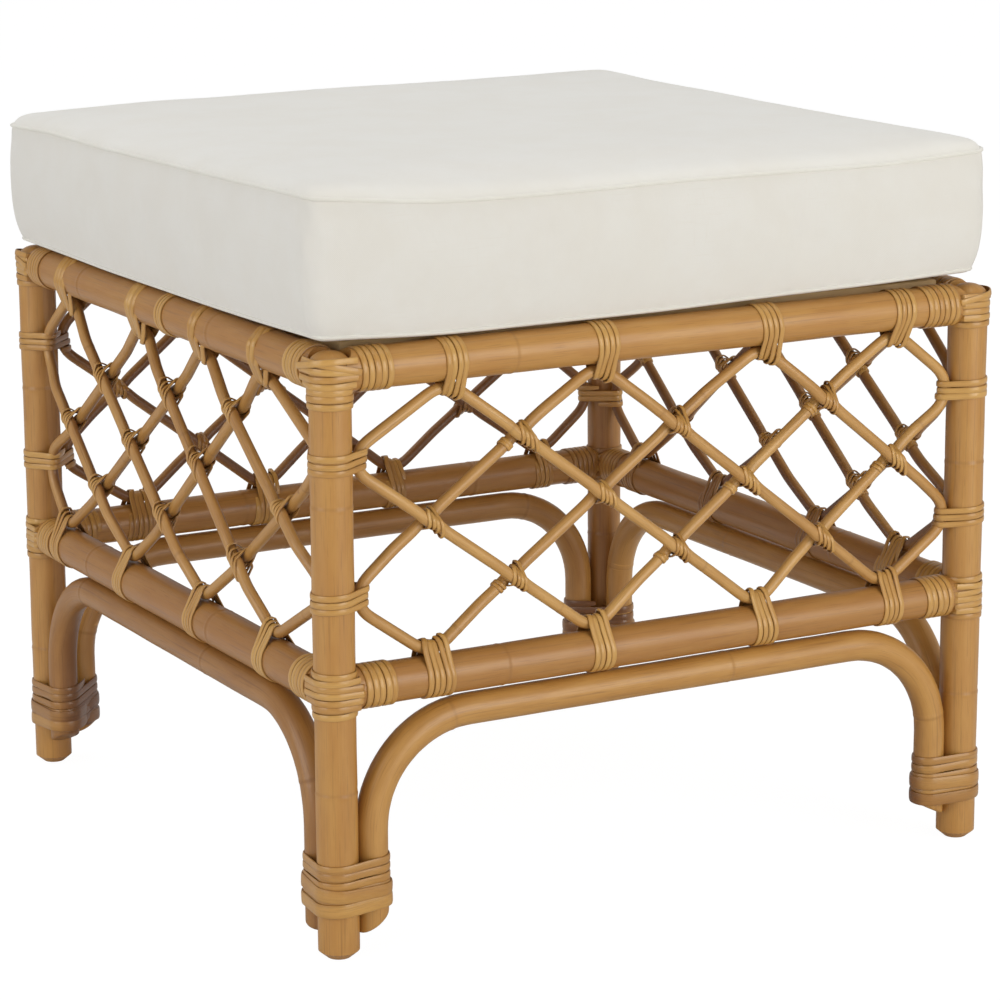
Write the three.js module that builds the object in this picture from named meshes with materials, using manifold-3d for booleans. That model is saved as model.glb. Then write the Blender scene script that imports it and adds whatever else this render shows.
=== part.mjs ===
// Rattan ottoman footstool with a loose box cushion.
// Pole legs and rails, an arched brace under each lower rail, a cane lattice on every side,
// peel windings and bindings at the joints, and a slatted deck that carries the cushion.
// Millimetres, +Z up. The origin is on the floor, midway between the four legs.

import * as THREE from 'three';
import Module from 'manifold-3d';
import { mergeVertices } from 'three/addons/utils/BufferGeometryUtils.js';

// Pole frame
const LEG_SPACING_X = 502;
const LEG_SPACING_Y = 502;
const LEG_DIAMETER = 28.5;
const FOOT_CHAMFER = 6;
const FOOT_CHAMFER_HEIGHT = 5;
const CROWN_HEIGHT = 7;
const RAIL_DIAMETER = 28;
const TOP_RAIL_HEIGHT = 394;
const LOWER_RAIL_HEIGHT = 183;

// Arched braces
const ARCH_DIAMETER = 22;
const ARCH_BEND_RADIUS = 72;
const ARCH_END_HEIGHT = 19;
const ARCH_END_RISE = 11;

// Cane lattice, counted in columns along a side and in half diamonds down it
const CANE_DIAMETER = 10;
const LATTICE_COLUMNS = 4;
const LATTICE_ROWS = 4;
const LEG_AIM_SHARE = 0.5;
const LAYER_CHANGE_SHARE = 0.62;

// How far each bend is off its even place, in columns, because the canes were set out by eye
const TOP_BEND_SHARES = {
  front: [0.2, 0.13, 0.19, 0.05],
  right: [-0.06, 0.1, 0.04, -0.1],
  back: [0.08, -0.06, 0.1, 0.04],
  left: [0.01, 0.1, -0.03, -0.25],
};
const LOWER_BEND_SHARES = {
  front: [0.02, 0.04, 0.11, -0.02],
  right: [0.05, -0.08, 0.06, 0.04],
  back: [-0.05, 0.08, 0.03, -0.08],
  left: [-0.15, -0.16, -0.13, -0.19],
};

// Rattan peel
const PEEL_THICKNESS = 1.3;
const TURN_GAP = 0.5;
const FOOT_WRAP_HEIGHT = 31;
const FOOT_PEEL_WIDTH = 6.2;
const FOOT_TURNS = 4;
const LASHING_PEEL_WIDTH = 4;
const LASHING_TURNS = 2;
const BINDING_REACH = 45;
const TOP_BINDING_DROP = 13;
const LOWER_BINDING_OVERHANG = 2;

// Seat deck
const CLEAT_WIDTH = 20;
const CLEAT_HEIGHT = 20;
const SLAT_THICKNESS = 10;
const SLAT_WIDTH = 45;
const SLAT_COUNT = 7;

// Cushion
const CUSHION_OVERHANG = 16;
const CUSHION_TAPER = 6;
const PIPING_SPACING = 91;
const CUSHION_CORNER_RADIUS = 24;
const CUSHION_CROWN = 11;
const CUSHION_BULGE = 4;
const CUSHION_DRAW_IN = 3;
const COVER_WALL = 2;
const PIPING_DIAMETER = 4.5;
const ZIP_LENGTH = 300;
const ZIP_WIDTH = 8;

// Clearance between pieces, the gap where two ends of one piece meet, and the overrun of a
// cutting tool past what it cuts
const FIT_GAP = 0.3;
const BUTT_GAP = 0.5;
const CUT_OVERRUN = 4;

// Facets
const POLE_SIDES = 12;
const ARCH_SIDES = 10;
const CANE_SIDES = 6;
const PIPING_SIDES = 6;
const CROWN_STEPS = 3;
const ARCH_BEND_STEPS = 6;
const CANE_BEND_STEPS = 4;
const WRAP_ARC_STEP = Math.PI / 5;

// Sizes that follow from those above
const LEG_RADIUS = LEG_DIAMETER / 2;
const RAIL_RADIUS = RAIL_DIAMETER / 2;
const ARCH_RADIUS = ARCH_DIAMETER / 2;
const CANE_RADIUS = CANE_DIAMETER / 2;
const PIPING_RADIUS = PIPING_DIAMETER / 2;
const LEG_TOP = TOP_RAIL_HEIGHT + RAIL_RADIUS;
const DECK_TOP = LEG_TOP + FIT_GAP + PEEL_THICKNESS;
const BINDING_RADIUS = RAIL_RADIUS + FIT_GAP + PEEL_THICKNESS;

const FRAME_COLOUR = 0xb98a4f;
const BRACE_COLOUR = 0xb4834a;
const CANE_COLOUR = 0xa97c48;
const PEEL_COLOUR = 0xc39a58;
const DECK_COLOUR = 0xc8a878;
const COVER_COLOUR = 0xe6e2d8;
const PIPING_COLOUR = 0xe2ddd0;
const FOAM_COLOUR = 0xefe6b8;
const ZIP_COLOUR = 0xd8d2c4;

const SIDES = ['front', 'right', 'back', 'left'];
const CORNERS = ['front_left', 'front_right', 'back_right', 'back_left'];
const ORIGIN = new THREE.Vector2(0, 0);
const UP = new THREE.Vector3(0, 0, 1);

const wasm = await Module();
wasm.setup();

// A closed geometry as a solid that can be joined and cut.
function solidOf(geometry) {
  const bare = geometry.clone();
  bare.deleteAttribute('normal');
  bare.deleteAttribute('uv');
  const welded = mergeVertices(bare);
  const corners = welded.index.array;
  const triangles = [];
  for (let i = 0; i < corners.length; i += 3) {
    const [a, b, c] = corners.subarray(i, i + 3);
    if (a !== b && b !== c && c !== a) {
      triangles.push(a, b, c);
    }
  }
  return new wasm.Manifold(new wasm.Mesh({
    numProp: 3,
    vertProperties: new Float32Array(welded.attributes.position.array),
    triVerts: new Uint32Array(triangles),
  }));
}

function geometryOf(solid) {
  const mesh = solid.getMesh();
  return indexedGeometry(Array.from(mesh.vertProperties), Array.from(mesh.triVerts));
}

function indexedGeometry(coordinates, triangles) {
  const geometry = new THREE.BufferGeometry();
  geometry.setAttribute('position', new THREE.Float32BufferAttribute(coordinates, 3));
  geometry.setIndex(triangles);
  geometry.computeVertexNormals();
  return geometry;
}

function pieceOf(name, geometry, colour, roughness) {
  const material = new THREE.MeshStandardMaterial({ color: colour, roughness, metalness: 0 });
  const mesh = new THREE.Mesh(geometry, material);
  mesh.name = name;
  return mesh;
}

// An upright round pole on the origin, with a rounded crown at its top. The profile of its foot
// is given from the axis outward.
function poleGeometry(foot, radius, height, crown) {
  const profile = [...foot];
  for (let step = 0; step <= CROWN_STEPS; step += 1) {
    const turn = (Math.PI / 2) * (step / CROWN_STEPS);
    const reach = step === CROWN_STEPS ? 0 : radius * Math.cos(turn);
    profile.push(new THREE.Vector2(reach, height - crown + crown * Math.sin(turn)));
  }
  return new THREE.LatheGeometry(profile, POLE_SIDES).rotateX(Math.PI / 2);
}

function squareFoot(radius) {
  return [ORIGIN, new THREE.Vector2(radius, 0)];
}

// A plain round bar that lies along X, centred on the origin.
function barGeometry(radius, length) {
  return new THREE.CylinderGeometry(radius, radius, length, POLE_SIDES).rotateZ(Math.PI / 2);
}

// A route through fixed stations, so that a rod bends where its stations are.
class StationRoute extends THREE.Curve {
  constructor(stations) {
    super();
    this.stations = stations;
  }

  getPointAt(share, target = new THREE.Vector3()) {
    const last = this.stations.length - 1;
    return target.copy(this.stations[Math.round(share * last)]);
  }

  getTangentAt(share, target = new THREE.Vector3()) {
    const last = this.stations.length - 1;
    const here = Math.round(share * last);
    const before = this.stations[Math.max(here - 1, 0)];
    const current = this.stations[here];
    const after = this.stations[Math.min(here + 1, last)];
    const arriving = new THREE.Vector3().subVectors(current, before).normalize();
    const leaving = new THREE.Vector3().subVectors(after, current).normalize();
    return target.addVectors(arriving, leaving).normalize();
  }
}

// A rod of round section along a route.
function rodGeometry(stations, radius, sides) {
  const section = new THREE.Shape();
  for (let side = 0; side < sides; side += 1) {
    const turn = (2 * Math.PI * side) / sides;
    const x = radius * Math.cos(turn);
    const y = radius * Math.sin(turn);
    if (side === 0) {
      section.moveTo(x, y);
    } else {
      section.lineTo(x, y);
    }
  }
  section.closePath();
  return new THREE.ExtrudeGeometry(section, {
    steps: stations.length - 1,
    extrudePath: new StationRoute(stations),
    bevelEnabled: false,
  });
}

function turnBetween(arriving, leaving) {
  return Math.acos(THREE.MathUtils.clamp(arriving.dot(leaving), -1, 1));
}

// The stations of a round bend in a flat route, from its first touch to its last.
function bendStations(before, corner, after, radius, steps) {
  const arriving = new THREE.Vector2().subVectors(corner, before).normalize();
  const leaving = new THREE.Vector2().subVectors(after, corner).normalize();
  const turn = turnBetween(arriving, leaving);
  const reach = radius * Math.tan(turn / 2);
  const start = corner.clone().addScaledVector(arriving, -reach);
  const side = Math.sign(arriving.cross(leaving));
  const inward = new THREE.Vector2(-arriving.y * side, arriving.x * side);
  const centre = start.clone().addScaledVector(inward, radius);
  const stations = [];
  for (let step = 0; step <= steps; step += 1) {
    const angle = side * turn * (step / steps);
    stations.push(start.clone().rotateAround(centre, angle));
  }
  return stations;
}

// The front and the back run along X, the other two sides along Y.
function sideSpacing(index) {
  return index % 2 === 0 ? LEG_SPACING_X : LEG_SPACING_Y;
}

// The poles

function legGeometry() {
  const flat = new THREE.Vector2(LEG_RADIUS - FOOT_CHAMFER, 0);
  const foot = [ORIGIN, flat, new THREE.Vector2(LEG_RADIUS, FOOT_CHAMFER_HEIGHT)];
  return poleGeometry(foot, LEG_RADIUS, LEG_TOP, CROWN_HEIGHT);
}

// The space that a leg takes up, with its fitting gap.
function legSpace() {
  const radius = LEG_RADIUS + FIT_GAP;
  return solidOf(poleGeometry(squareFoot(radius), radius, LEG_TOP + FIT_GAP, CROWN_HEIGHT));
}

// A rail between two legs: mitred against its neighbours at the inner corners, coped to the legs.
function railGeometry(spacing, height) {
  const half = spacing / 2;
  const reach = Math.max(RAIL_RADIUS, LEG_RADIUS) + CUT_OVERRUN;
  const mitreGap = FIT_GAP * Math.SQRT1_2;
  const plan = new THREE.Shape();
  plan.moveTo(-half + mitreGap, -reach);
  plan.lineTo(half - mitreGap, -reach);
  plan.lineTo(half - mitreGap, 0);
  plan.lineTo(half - mitreGap - reach, reach);
  plan.lineTo(-half + mitreGap + reach, reach);
  plan.lineTo(-half + mitreGap, 0);
  plan.closePath();
  const depth = RAIL_DIAMETER + CUT_OVERRUN;
  const block = new THREE.ExtrudeGeometry(plan, { depth, bevelEnabled: false });
  let rail = solidOf(barGeometry(RAIL_RADIUS, spacing));
  rail = rail.intersect(solidOf(block.translate(0, 0, -depth / 2)));
  const space = legSpace().translate(0, 0, -height);
  rail = rail.subtract(space.translate(-half, 0, 0));
  rail = rail.subtract(space.translate(half, 0, 0));
  return geometryOf(rail);
}

// An arch hangs one peel's thickness under its rail, which leaves room for the rail lashings.
function archTop() {
  return LOWER_RAIL_HEIGHT - RAIL_RADIUS - PEEL_THICKNESS - 2 * FIT_GAP - ARCH_RADIUS;
}

// How far the foot of an arch stands from the middle of its leg.
function archOffset() {
  return LEG_RADIUS + FIT_GAP + ARCH_RADIUS;
}

function archGeometry(spacing) {
  const half = spacing / 2 - archOffset();
  const top = archTop();
  const low = ARCH_END_HEIGHT - CUT_OVERRUN;
  const radius = Math.min(ARCH_BEND_RADIUS, half, top - ARCH_END_HEIGHT);
  const feet = [new THREE.Vector2(-half, low), new THREE.Vector2(half, low)];
  const corners = [new THREE.Vector2(-half, top), new THREE.Vector2(half, top)];
  const flat = [
    feet[0],
    ...bendStations(feet[0], corners[0], corners[1], radius, ARCH_BEND_STEPS),
    ...bendStations(corners[0], corners[1], feet[1], radius, ARCH_BEND_STEPS),
    feet[1],
  ];
  const stations = flat.map((place) => new THREE.Vector3(place.x, 0, place.y));
  let arch = solidOf(rodGeometry(stations, ARCH_RADIUS, ARCH_SIDES));

  // Each end is cut on a slant that rises away from the leg.
  const bevel = new THREE.Shape();
  bevel.moveTo(-ARCH_RADIUS - CUT_OVERRUN, low - CUT_OVERRUN);
  bevel.lineTo(ARCH_RADIUS + CUT_OVERRUN, low - CUT_OVERRUN);
  bevel.lineTo(ARCH_RADIUS + CUT_OVERRUN, ARCH_END_HEIGHT + ARCH_END_RISE);
  bevel.lineTo(-ARCH_RADIUS, ARCH_END_HEIGHT);
  bevel.lineTo(-ARCH_RADIUS - CUT_OVERRUN, ARCH_END_HEIGHT);
  bevel.closePath();
  const depth = ARCH_DIAMETER + CUT_OVERRUN;
  const wedge = new THREE.ExtrudeGeometry(bevel, { depth, bevelEnabled: false });
  const cutter = solidOf(wedge.translate(0, 0, -depth / 2).rotateX(Math.PI / 2));
  arch = arch.subtract(cutter.translate(-half, 0, 0));
  arch = arch.subtract(cutter.mirror([1, 0, 0]).translate(half, 0, 0));
  return geometryOf(arch);
}

// The lattice

// The grid that the canes follow on one side. Rows count down from the top rail.
// Each strand aims a little way into the leg, and its bend turns it back at the leg's surface.
function latticeGrid(spacing) {
  const aim = LEG_RADIUS * LEG_AIM_SHARE;
  const half = spacing / 2 - LEG_RADIUS + aim;
  const high = TOP_RAIL_HEIGHT - RAIL_RADIUS;
  const low = LOWER_RAIL_HEIGHT + RAIL_RADIUS;
  const columnStep = (2 * half) / LATTICE_COLUMNS;
  const rowStep = (high - low) / LATTICE_ROWS;
  return {
    place: (column, row) => new THREE.Vector2(-half + column * columnStep, high - row * rowStep),
    railReach: FIT_GAP + CANE_RADIUS,
    legReach: FIT_GAP + CANE_RADIUS + aim,
  };
}

// The runs of the canes over a lattice of so many half columns and rows. A run goes slantwise
// from bend to bend, as a ball does between cushions, until it comes back to where it began.
function caneRuns() {
  const width = 2 * LATTICE_COLUMNS;
  const visited = new Set();
  const runs = [];
  for (let start = 1; start < width; start += 2) {
    const run = [];
    let [x, y, acrossStep, downStep] = [start, 0, 1, 1];
    while (!visited.has(`${x} ${y}`)) {
      visited.add(`${x} ${y}`);
      run.push([x, y]);
      const across = acrossStep > 0 ? width - x : x;
      const down = downStep > 0 ? LATTICE_ROWS - y : y;
      const length = Math.min(across, down);
      x += acrossStep * length;
      y += downStep * length;
      acrossStep = across === length ? -acrossStep : acrossStep;
      downStep = down === length ? -downStep : downStep;
    }
    if (run.length > 0) {
      runs.push(run);
    }
  }
  return runs;
}

// Where a bend really lies, as [column, row]: the bends at the rails are off their even places.
function bendPlace([x, y], side) {
  const shares = { 0: TOP_BEND_SHARES, [LATTICE_ROWS]: LOWER_BEND_SHARES }[y];
  if (shares === undefined) {
    return [x / 2, y];
  }
  const index = (x - 1) / 2;
  return [x / 2 + shares[side][index % shares[side].length], y];
}

// The bends of one cane, each with the radius with which it just touches its rail or leg, and
// with how far it touches the leg above its row.
function caneBends(spacing, side, run) {
  const grid = latticeGrid(spacing);
  return run.map((bend, index) => {
    const neighbours = [run[(index + run.length - 1) % run.length], run[(index + 1) % run.length]];
    const [before, after] = neighbours.map((place) => grid.place(...bendPlace(place, side)));
    const corner = grid.place(...bendPlace(bend, side));
    const arriving = new THREE.Vector2().subVectors(corner, before).normalize();
    const leaving = new THREE.Vector2().subVectors(after, corner).normalize();
    const outward = new THREE.Vector2().subVectors(arriving, leaving).normalize();
    const stretch = 1 / Math.cos(turnBetween(arriving, leaving) / 2);
    const atRail = bend[1] === 0 || bend[1] === LATTICE_ROWS;
    const reach = atRail ? grid.railReach : grid.legReach;
    const lean = Math.abs(atRail ? outward.y : outward.x);
    const radius = reach / (lean * stretch - 1);
    return { bend, before, corner, after, radius, rise: -outward.y * stretch * radius };
  });
}

// The two stations between which a strand runs in its own layer: falling strands outside,
// rising strands inside. It changes layer before its first crossing and after its last one.
function layerStations(from, to, grid) {
  const rows = Math.abs(to[1] - from[1]);
  if (rows < 2) {
    return [];
  }
  const layer = CANE_RADIUS + FIT_GAP / 2;
  const falls = (to[0] - from[0]) * (to[1] - from[1]) > 0;
  const depth = falls ? -layer : layer;
  return [LAYER_CHANGE_SHARE / rows, 1 - LAYER_CHANGE_SHARE / rows].map((share) => {
    const column = from[0] + (to[0] - from[0]) * share;
    const row = from[1] + (to[1] - from[1]) * share;
    const place = grid.place(column, row);
    return new THREE.Vector3(place.x, depth, place.y);
  });
}

function caneGeometry(spacing, side, run) {
  const grid = latticeGrid(spacing);
  const bends = caneBends(spacing, side, run);
  const stations = [];
  bends.forEach(({ bend, before, corner, after, radius }, index) => {
    bendStations(before, corner, after, radius, CANE_BEND_STEPS).forEach((place) => {
      stations.push(new THREE.Vector3(place.x, 0, place.y));
    });
    const next = bends[(index + 1) % bends.length].bend;
    stations.push(...layerStations(bendPlace(bend, side), bendPlace(next, side), grid));
  });

  // The cane's two ends meet in the middle of its first bend.
  const middle = CANE_BEND_STEPS / 2;
  return rodGeometry(buttEnded([...stations.slice(middle), ...stations.slice(0, middle + 1)]),
    CANE_RADIUS, CANE_SIDES);
}

// A ring of stations with its two ends drawn back, so that they butt with a gap.
function buttEnded(ring) {
  const last = ring.length - 1;
  const stations = [...ring];
  stations[0] = shifted(ring[0], ring[1], BUTT_GAP / 2);
  stations[last] = shifted(ring[last], ring[last - 1], BUTT_GAP / 2);
  return stations;
}

function shifted(point, towards, distance) {
  const way = new THREE.Vector3().subVectors(towards, point).normalize();
  return point.clone().addScaledVector(way, distance);
}

// The windings

// The points of one turn of a taut peel round a bundle of upright poles, seen from above.
// The poles are listed anticlockwise, and each is { x, y, radius }.
function wrapOutline(poles, growth) {
  const grow = (radius) => (radius + growth) / Math.cos(WRAP_ARC_STEP / 2);
  const circles = poles.map((pole) => ({ ...pole, radius: grow(pole.radius) }));
  const normals = circles.map((circle, index) => {
    const next = circles[(index + 1) % circles.length];
    const span = Math.hypot(next.x - circle.x, next.y - circle.y);
    const heading = Math.atan2(next.y - circle.y, next.x - circle.x);
    return heading - Math.acos((circle.radius - next.radius) / span);
  });
  const outline = [];
  circles.forEach((circle, index) => {
    const first = normals[(index + circles.length - 1) % circles.length];
    let last = normals[index];
    while (last < first) {
      last += 2 * Math.PI;
    }
    const steps = Math.ceil((last - first) / WRAP_ARC_STEP);
    for (let step = 0; step <= steps; step += 1) {
      const angle = first + ((last - first) * step) / steps;
      const x = circle.x + circle.radius * Math.cos(angle);
      const y = circle.y + circle.radius * Math.sin(angle);
      outline.push(new THREE.Vector2(x, y));
    }
  });
  return outline;
}

// A peel wound round a bundle as one unbroken strip that climbs a turn at a time.
function windingGeometry(poles, bottom, width, turns) {
  const inner = wrapOutline(poles, FIT_GAP);
  const outer = wrapOutline(poles, FIT_GAP + PEEL_THICKNESS);
  const count = inner.length;
  const lengths = [0];
  for (let index = 0; index < count; index += 1) {
    lengths.push(lengths[index] + inner[index].distanceTo(inner[(index + 1) % count]));
  }
  const pitch = width + TURN_GAP;
  const coordinates = [];
  const rings = turns * count + 1;
  for (let ring = 0; ring < rings; ring += 1) {
    const index = ring % count;
    const turn = Math.floor(ring / count) + lengths[index] / lengths[count];
    const low = bottom + pitch * turn;
    coordinates.push(inner[index].x, inner[index].y, low);
    coordinates.push(outer[index].x, outer[index].y, low);
    coordinates.push(outer[index].x, outer[index].y, low + width);
    coordinates.push(inner[index].x, inner[index].y, low + width);
  }
  reportLeastGap(coordinates, rings, count);
  return indexedGeometry(coordinates, stripTriangles(rings, 4));
}

// The faces of a tube of `rings` rings with `sides` corners each, with both ends closed.
function stripTriangles(rings, sides) {
  const triangles = [];
  for (let ring = 0; ring < rings - 1; ring += 1) {
    for (let side = 0; side < sides; side += 1) {
      const a = ring * sides + side;
      const b = ring * sides + ((side + 1) % sides);
      triangles.push(a, a + sides, b, b, a + sides, b + sides);
    }
  }
  const end = (rings - 1) * sides;
  for (let side = 1; side < sides - 1; side += 1) {
    triangles.push(0, side, side + 1);
    triangles.push(end, end + side + 1, end + side);
  }
  return triangles;
}

// The least gap between one turn's upper edge and the lower edge of the turn above it.
let leastTurnGap = Infinity;

function reportLeastGap(coordinates, rings, count) {
  const corner = (ring, side) => new THREE.Vector3().fromArray(coordinates, (ring * 4 + side) * 3);
  for (let ring = 0; ring + count < rings; ring += 1) {
    const gap = corner(ring + count, 0).distanceTo(corner(ring, 3));
    leastTurnGap = Math.min(leastTurnGap, gap);
  }
}

// The leg and the feet of its two arches, seen from above.
function footBundle() {
  const offset = archOffset();
  return [
    { x: 0, y: 0, radius: LEG_RADIUS },
    { x: offset, y: 0, radius: ARCH_RADIUS },
    { x: 0, y: offset, radius: ARCH_RADIUS },
  ];
}

// The leg and the bends of the two canes that touch it at one row. Their arms spread above and
// below, so the space that they need grows with the height of the lashing.
function legBundle(cornerIndex, row) {
  const offset = LEG_RADIUS + FIT_GAP + CANE_RADIUS;
  const radii = [[cornerIndex, 0], [cornerIndex + 3, 2 * LATTICE_COLUMNS]].map(([index, column]) => {
    const side = index % SIDES.length;
    const touches = caneRuns().flatMap((run) => caneBends(sideSpacing(side), SIDES[side], run));
    const touch = touches.find(({ bend }) => bend[0] === column && bend[1] === row);
    const reach = lashingHeight() / 2 + Math.abs(touch.rise);
    const inside = Math.max(touch.radius - CANE_RADIUS, reach);
    return CANE_RADIUS + inside - Math.sqrt(inside * inside - reach * reach);
  });
  return [
    { x: 0, y: 0, radius: LEG_RADIUS },
    { x: offset, y: 0, radius: radii[0] },
    { x: 0, y: offset, radius: radii[1] },
  ];
}

function lashingHeight() {
  return LASHING_TURNS * (LASHING_PEEL_WIDTH + TURN_GAP) + LASHING_PEEL_WIDTH;
}

// The bindings

// A sleeve of peel round a leg and the ends of its two rails, which run along +X and +Y.
// It is open below, and closed over the leg's crown where the leg ends at the rails.
function bindingGeometry(railHeight, low, high, overCrown) {
  const radius = LEG_RADIUS + FIT_GAP + PEEL_THICKNESS;
  const shellGeometry = overCrown
    ? poleGeometry(squareFoot(radius), radius, high - low, CROWN_HEIGHT)
    : new THREE.CylinderGeometry(radius, radius, high - low, POLE_SIDES)
      .rotateX(Math.PI / 2).translate(0, 0, (high - low) / 2);
  let shell = solidOf(shellGeometry.translate(0, 0, low));
  const sleeve = solidOf(barGeometry(BINDING_RADIUS, BINDING_REACH)
    .translate(BINDING_REACH / 2, 0, railHeight));
  const core = solidOf(barGeometry(RAIL_RADIUS + FIT_GAP, BINDING_REACH + CUT_OVERRUN)
    .translate((BINDING_REACH + CUT_OVERRUN) / 2, 0, railHeight));
  shell = shell.add(sleeve).add(sleeve.rotate([0, 0, 90]));
  shell = shell.subtract(core).subtract(core.rotate([0, 0, 90])).subtract(legSpace());
  return geometryOf(shell);
}

// The seat deck

function cleatLength() {
  return LEG_SPACING_Y - 2 * (BINDING_RADIUS + FIT_GAP);
}

function slatLength() {
  return LEG_SPACING_X - 2 * (BINDING_RADIUS + FIT_GAP);
}

function addDeck(model) {
  const cleatX = LEG_SPACING_X / 2 - BINDING_RADIUS - FIT_GAP - CLEAT_WIDTH / 2;
  const cleatTop = DECK_TOP - SLAT_THICKNESS - FIT_GAP;
  [['left', -cleatX], ['right', cleatX]].forEach(([side, x]) => {
    const geometry = new THREE.BoxGeometry(CLEAT_WIDTH, cleatLength(), CLEAT_HEIGHT);
    const cleat = pieceOf(`deck_cleat_${side}`, geometry, DECK_COLOUR, 0.7);
    cleat.position.set(x, 0, cleatTop - CLEAT_HEIGHT / 2);
    model.add(cleat);
  });
  const step = (cleatLength() - SLAT_WIDTH) / (SLAT_COUNT - 1);
  for (let index = 0; index < SLAT_COUNT; index += 1) {
    const geometry = new THREE.BoxGeometry(slatLength(), SLAT_WIDTH, SLAT_THICKNESS);
    const slat = pieceOf(`deck_slat_${index + 1}`, geometry, DECK_COLOUR, 0.7);
    slat.position.set(0, (index - (SLAT_COUNT - 1) / 2) * step, DECK_TOP - SLAT_THICKNESS / 2);
    model.add(slat);
  }
}

// The cushion

const SEAM_DROP = (PIPING_RADIUS + FIT_GAP) * Math.SQRT1_2;
const CUSHION_BOTTOM = DECK_TOP + FIT_GAP;
const SEAM_BOTTOM = CUSHION_BOTTOM + SEAM_DROP + PIPING_RADIUS;
const SEAM_TOP = SEAM_BOTTOM + PIPING_SPACING - 2 * SEAM_DROP;
const SEAM_INSET = SEAM_DROP + PIPING_RADIUS;

// The cushion's outline seen from above, grown or shrunk by `growth`. Its sides are drawn in
// between the corners. It starts in the middle of the back, and runs anticlockwise.
function cushionOutline(growth, { cornerSteps, sideSteps }) {
  const halfX = LEG_SPACING_X / 2 + CUSHION_OVERHANG - SEAM_INSET + growth;
  const halfY = LEG_SPACING_Y / 2 + CUSHION_OVERHANG - SEAM_INSET + growth;
  const radius = CUSHION_CORNER_RADIUS + growth;
  const outline = [];
  for (let side = 0; side < 4; side += 1) {
    const along = side % 2 === 0 ? halfX - radius : halfY - radius;
    const out = side % 2 === 0 ? halfY : halfX;
    const turn = (side * Math.PI) / 2;
    for (let step = 0; step < sideSteps; step += 1) {
      const share = (2 * step) / sideSteps - 1;
      const drawn = CUSHION_DRAW_IN * Math.cos((share * Math.PI) / 2) ** 2;
      outline.push(new THREE.Vector2(-share * along, out - drawn).rotateAround(ORIGIN, turn));
    }
    for (let step = 0; step < cornerSteps; step += 1) {
      const angle = Math.PI / 2 + ((Math.PI / 2) * step) / cornerSteps;
      const x = -along + radius * Math.cos(angle);
      const y = out - radius + radius * Math.sin(angle);
      outline.push(new THREE.Vector2(x, y).rotateAround(ORIGIN, turn));
    }
  }
  const middle = sideSteps / 2;
  return [...outline.slice(middle), ...outline.slice(0, middle)];
}

// The crown of the top, from the seam at share 0 to the middle at share 1. Its shoulder is full.
function crownHeight(share) {
  return CUSHION_CROWN * Math.sqrt(1 - (1 - share) ** 4);
}

// A closed pillow form. Each level is [growth, height, share by which the outline shrinks].
// A negative growth leaves a smaller pillow inside, for the cover's cavity and the foam.
function pillowGeometry(growth, form) {
  const levels = [];
  const narrow = growth - CUSHION_TAPER;
  form.bottomShares.forEach((share) => levels.push([narrow, CUSHION_BOTTOM - growth, share]));
  const low = SEAM_BOTTOM - growth;
  const high = SEAM_TOP + growth;
  for (let level = 0; level <= form.sideLevels; level += 1) {
    const rise = level / form.sideLevels;
    const bulge = CUSHION_BULGE * Math.sin(rise * Math.PI);
    levels.push([THREE.MathUtils.lerp(narrow, growth, rise) + bulge, low + (high - low) * rise, 0]);
  }
  form.topShares.forEach((share) => levels.push([growth, high + crownHeight(share), share]));

  const coordinates = [];
  const count = cushionOutline(0, form).length;
  levels.forEach(([out, height, share]) => {
    cushionOutline(out, form).forEach((place) => {
      coordinates.push(place.x * (1 - share), place.y * (1 - share), height);
    });
  });
  const triangles = [];
  for (let level = 0; level < levels.length - 1; level += 1) {
    for (let index = 0; index < count; index += 1) {
      const a = level * count + index;
      const b = level * count + ((index + 1) % count);
      triangles.push(a, b, a + count, b, b + count, a + count);
    }
  }
  const bottomMiddle = coordinates.length / 3;
  const topMiddle = bottomMiddle + 1;
  coordinates.push(0, 0, CUSHION_BOTTOM - growth);
  coordinates.push(0, 0, high + crownHeight(1));
  const lastLevel = (levels.length - 1) * count;
  for (let index = 0; index < count; index += 1) {
    const next = (index + 1) % count;
    triangles.push(bottomMiddle, next, index);
    triangles.push(topMiddle, lastLevel + index, lastLevel + next);
  }
  return indexedGeometry(coordinates, triangles);
}

const OUTER_FORM = {
  cornerSteps: 4,
  sideSteps: 4,
  sideLevels: 4,
  topShares: [0.04, 0.14, 0.34, 0.65],
  bottomShares: [0.08],
};
const INNER_FORM = {
  cornerSteps: 2,
  sideSteps: 4,
  sideLevels: 2,
  topShares: [0.2, 0.6],
  bottomShares: [0.08],
};

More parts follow.
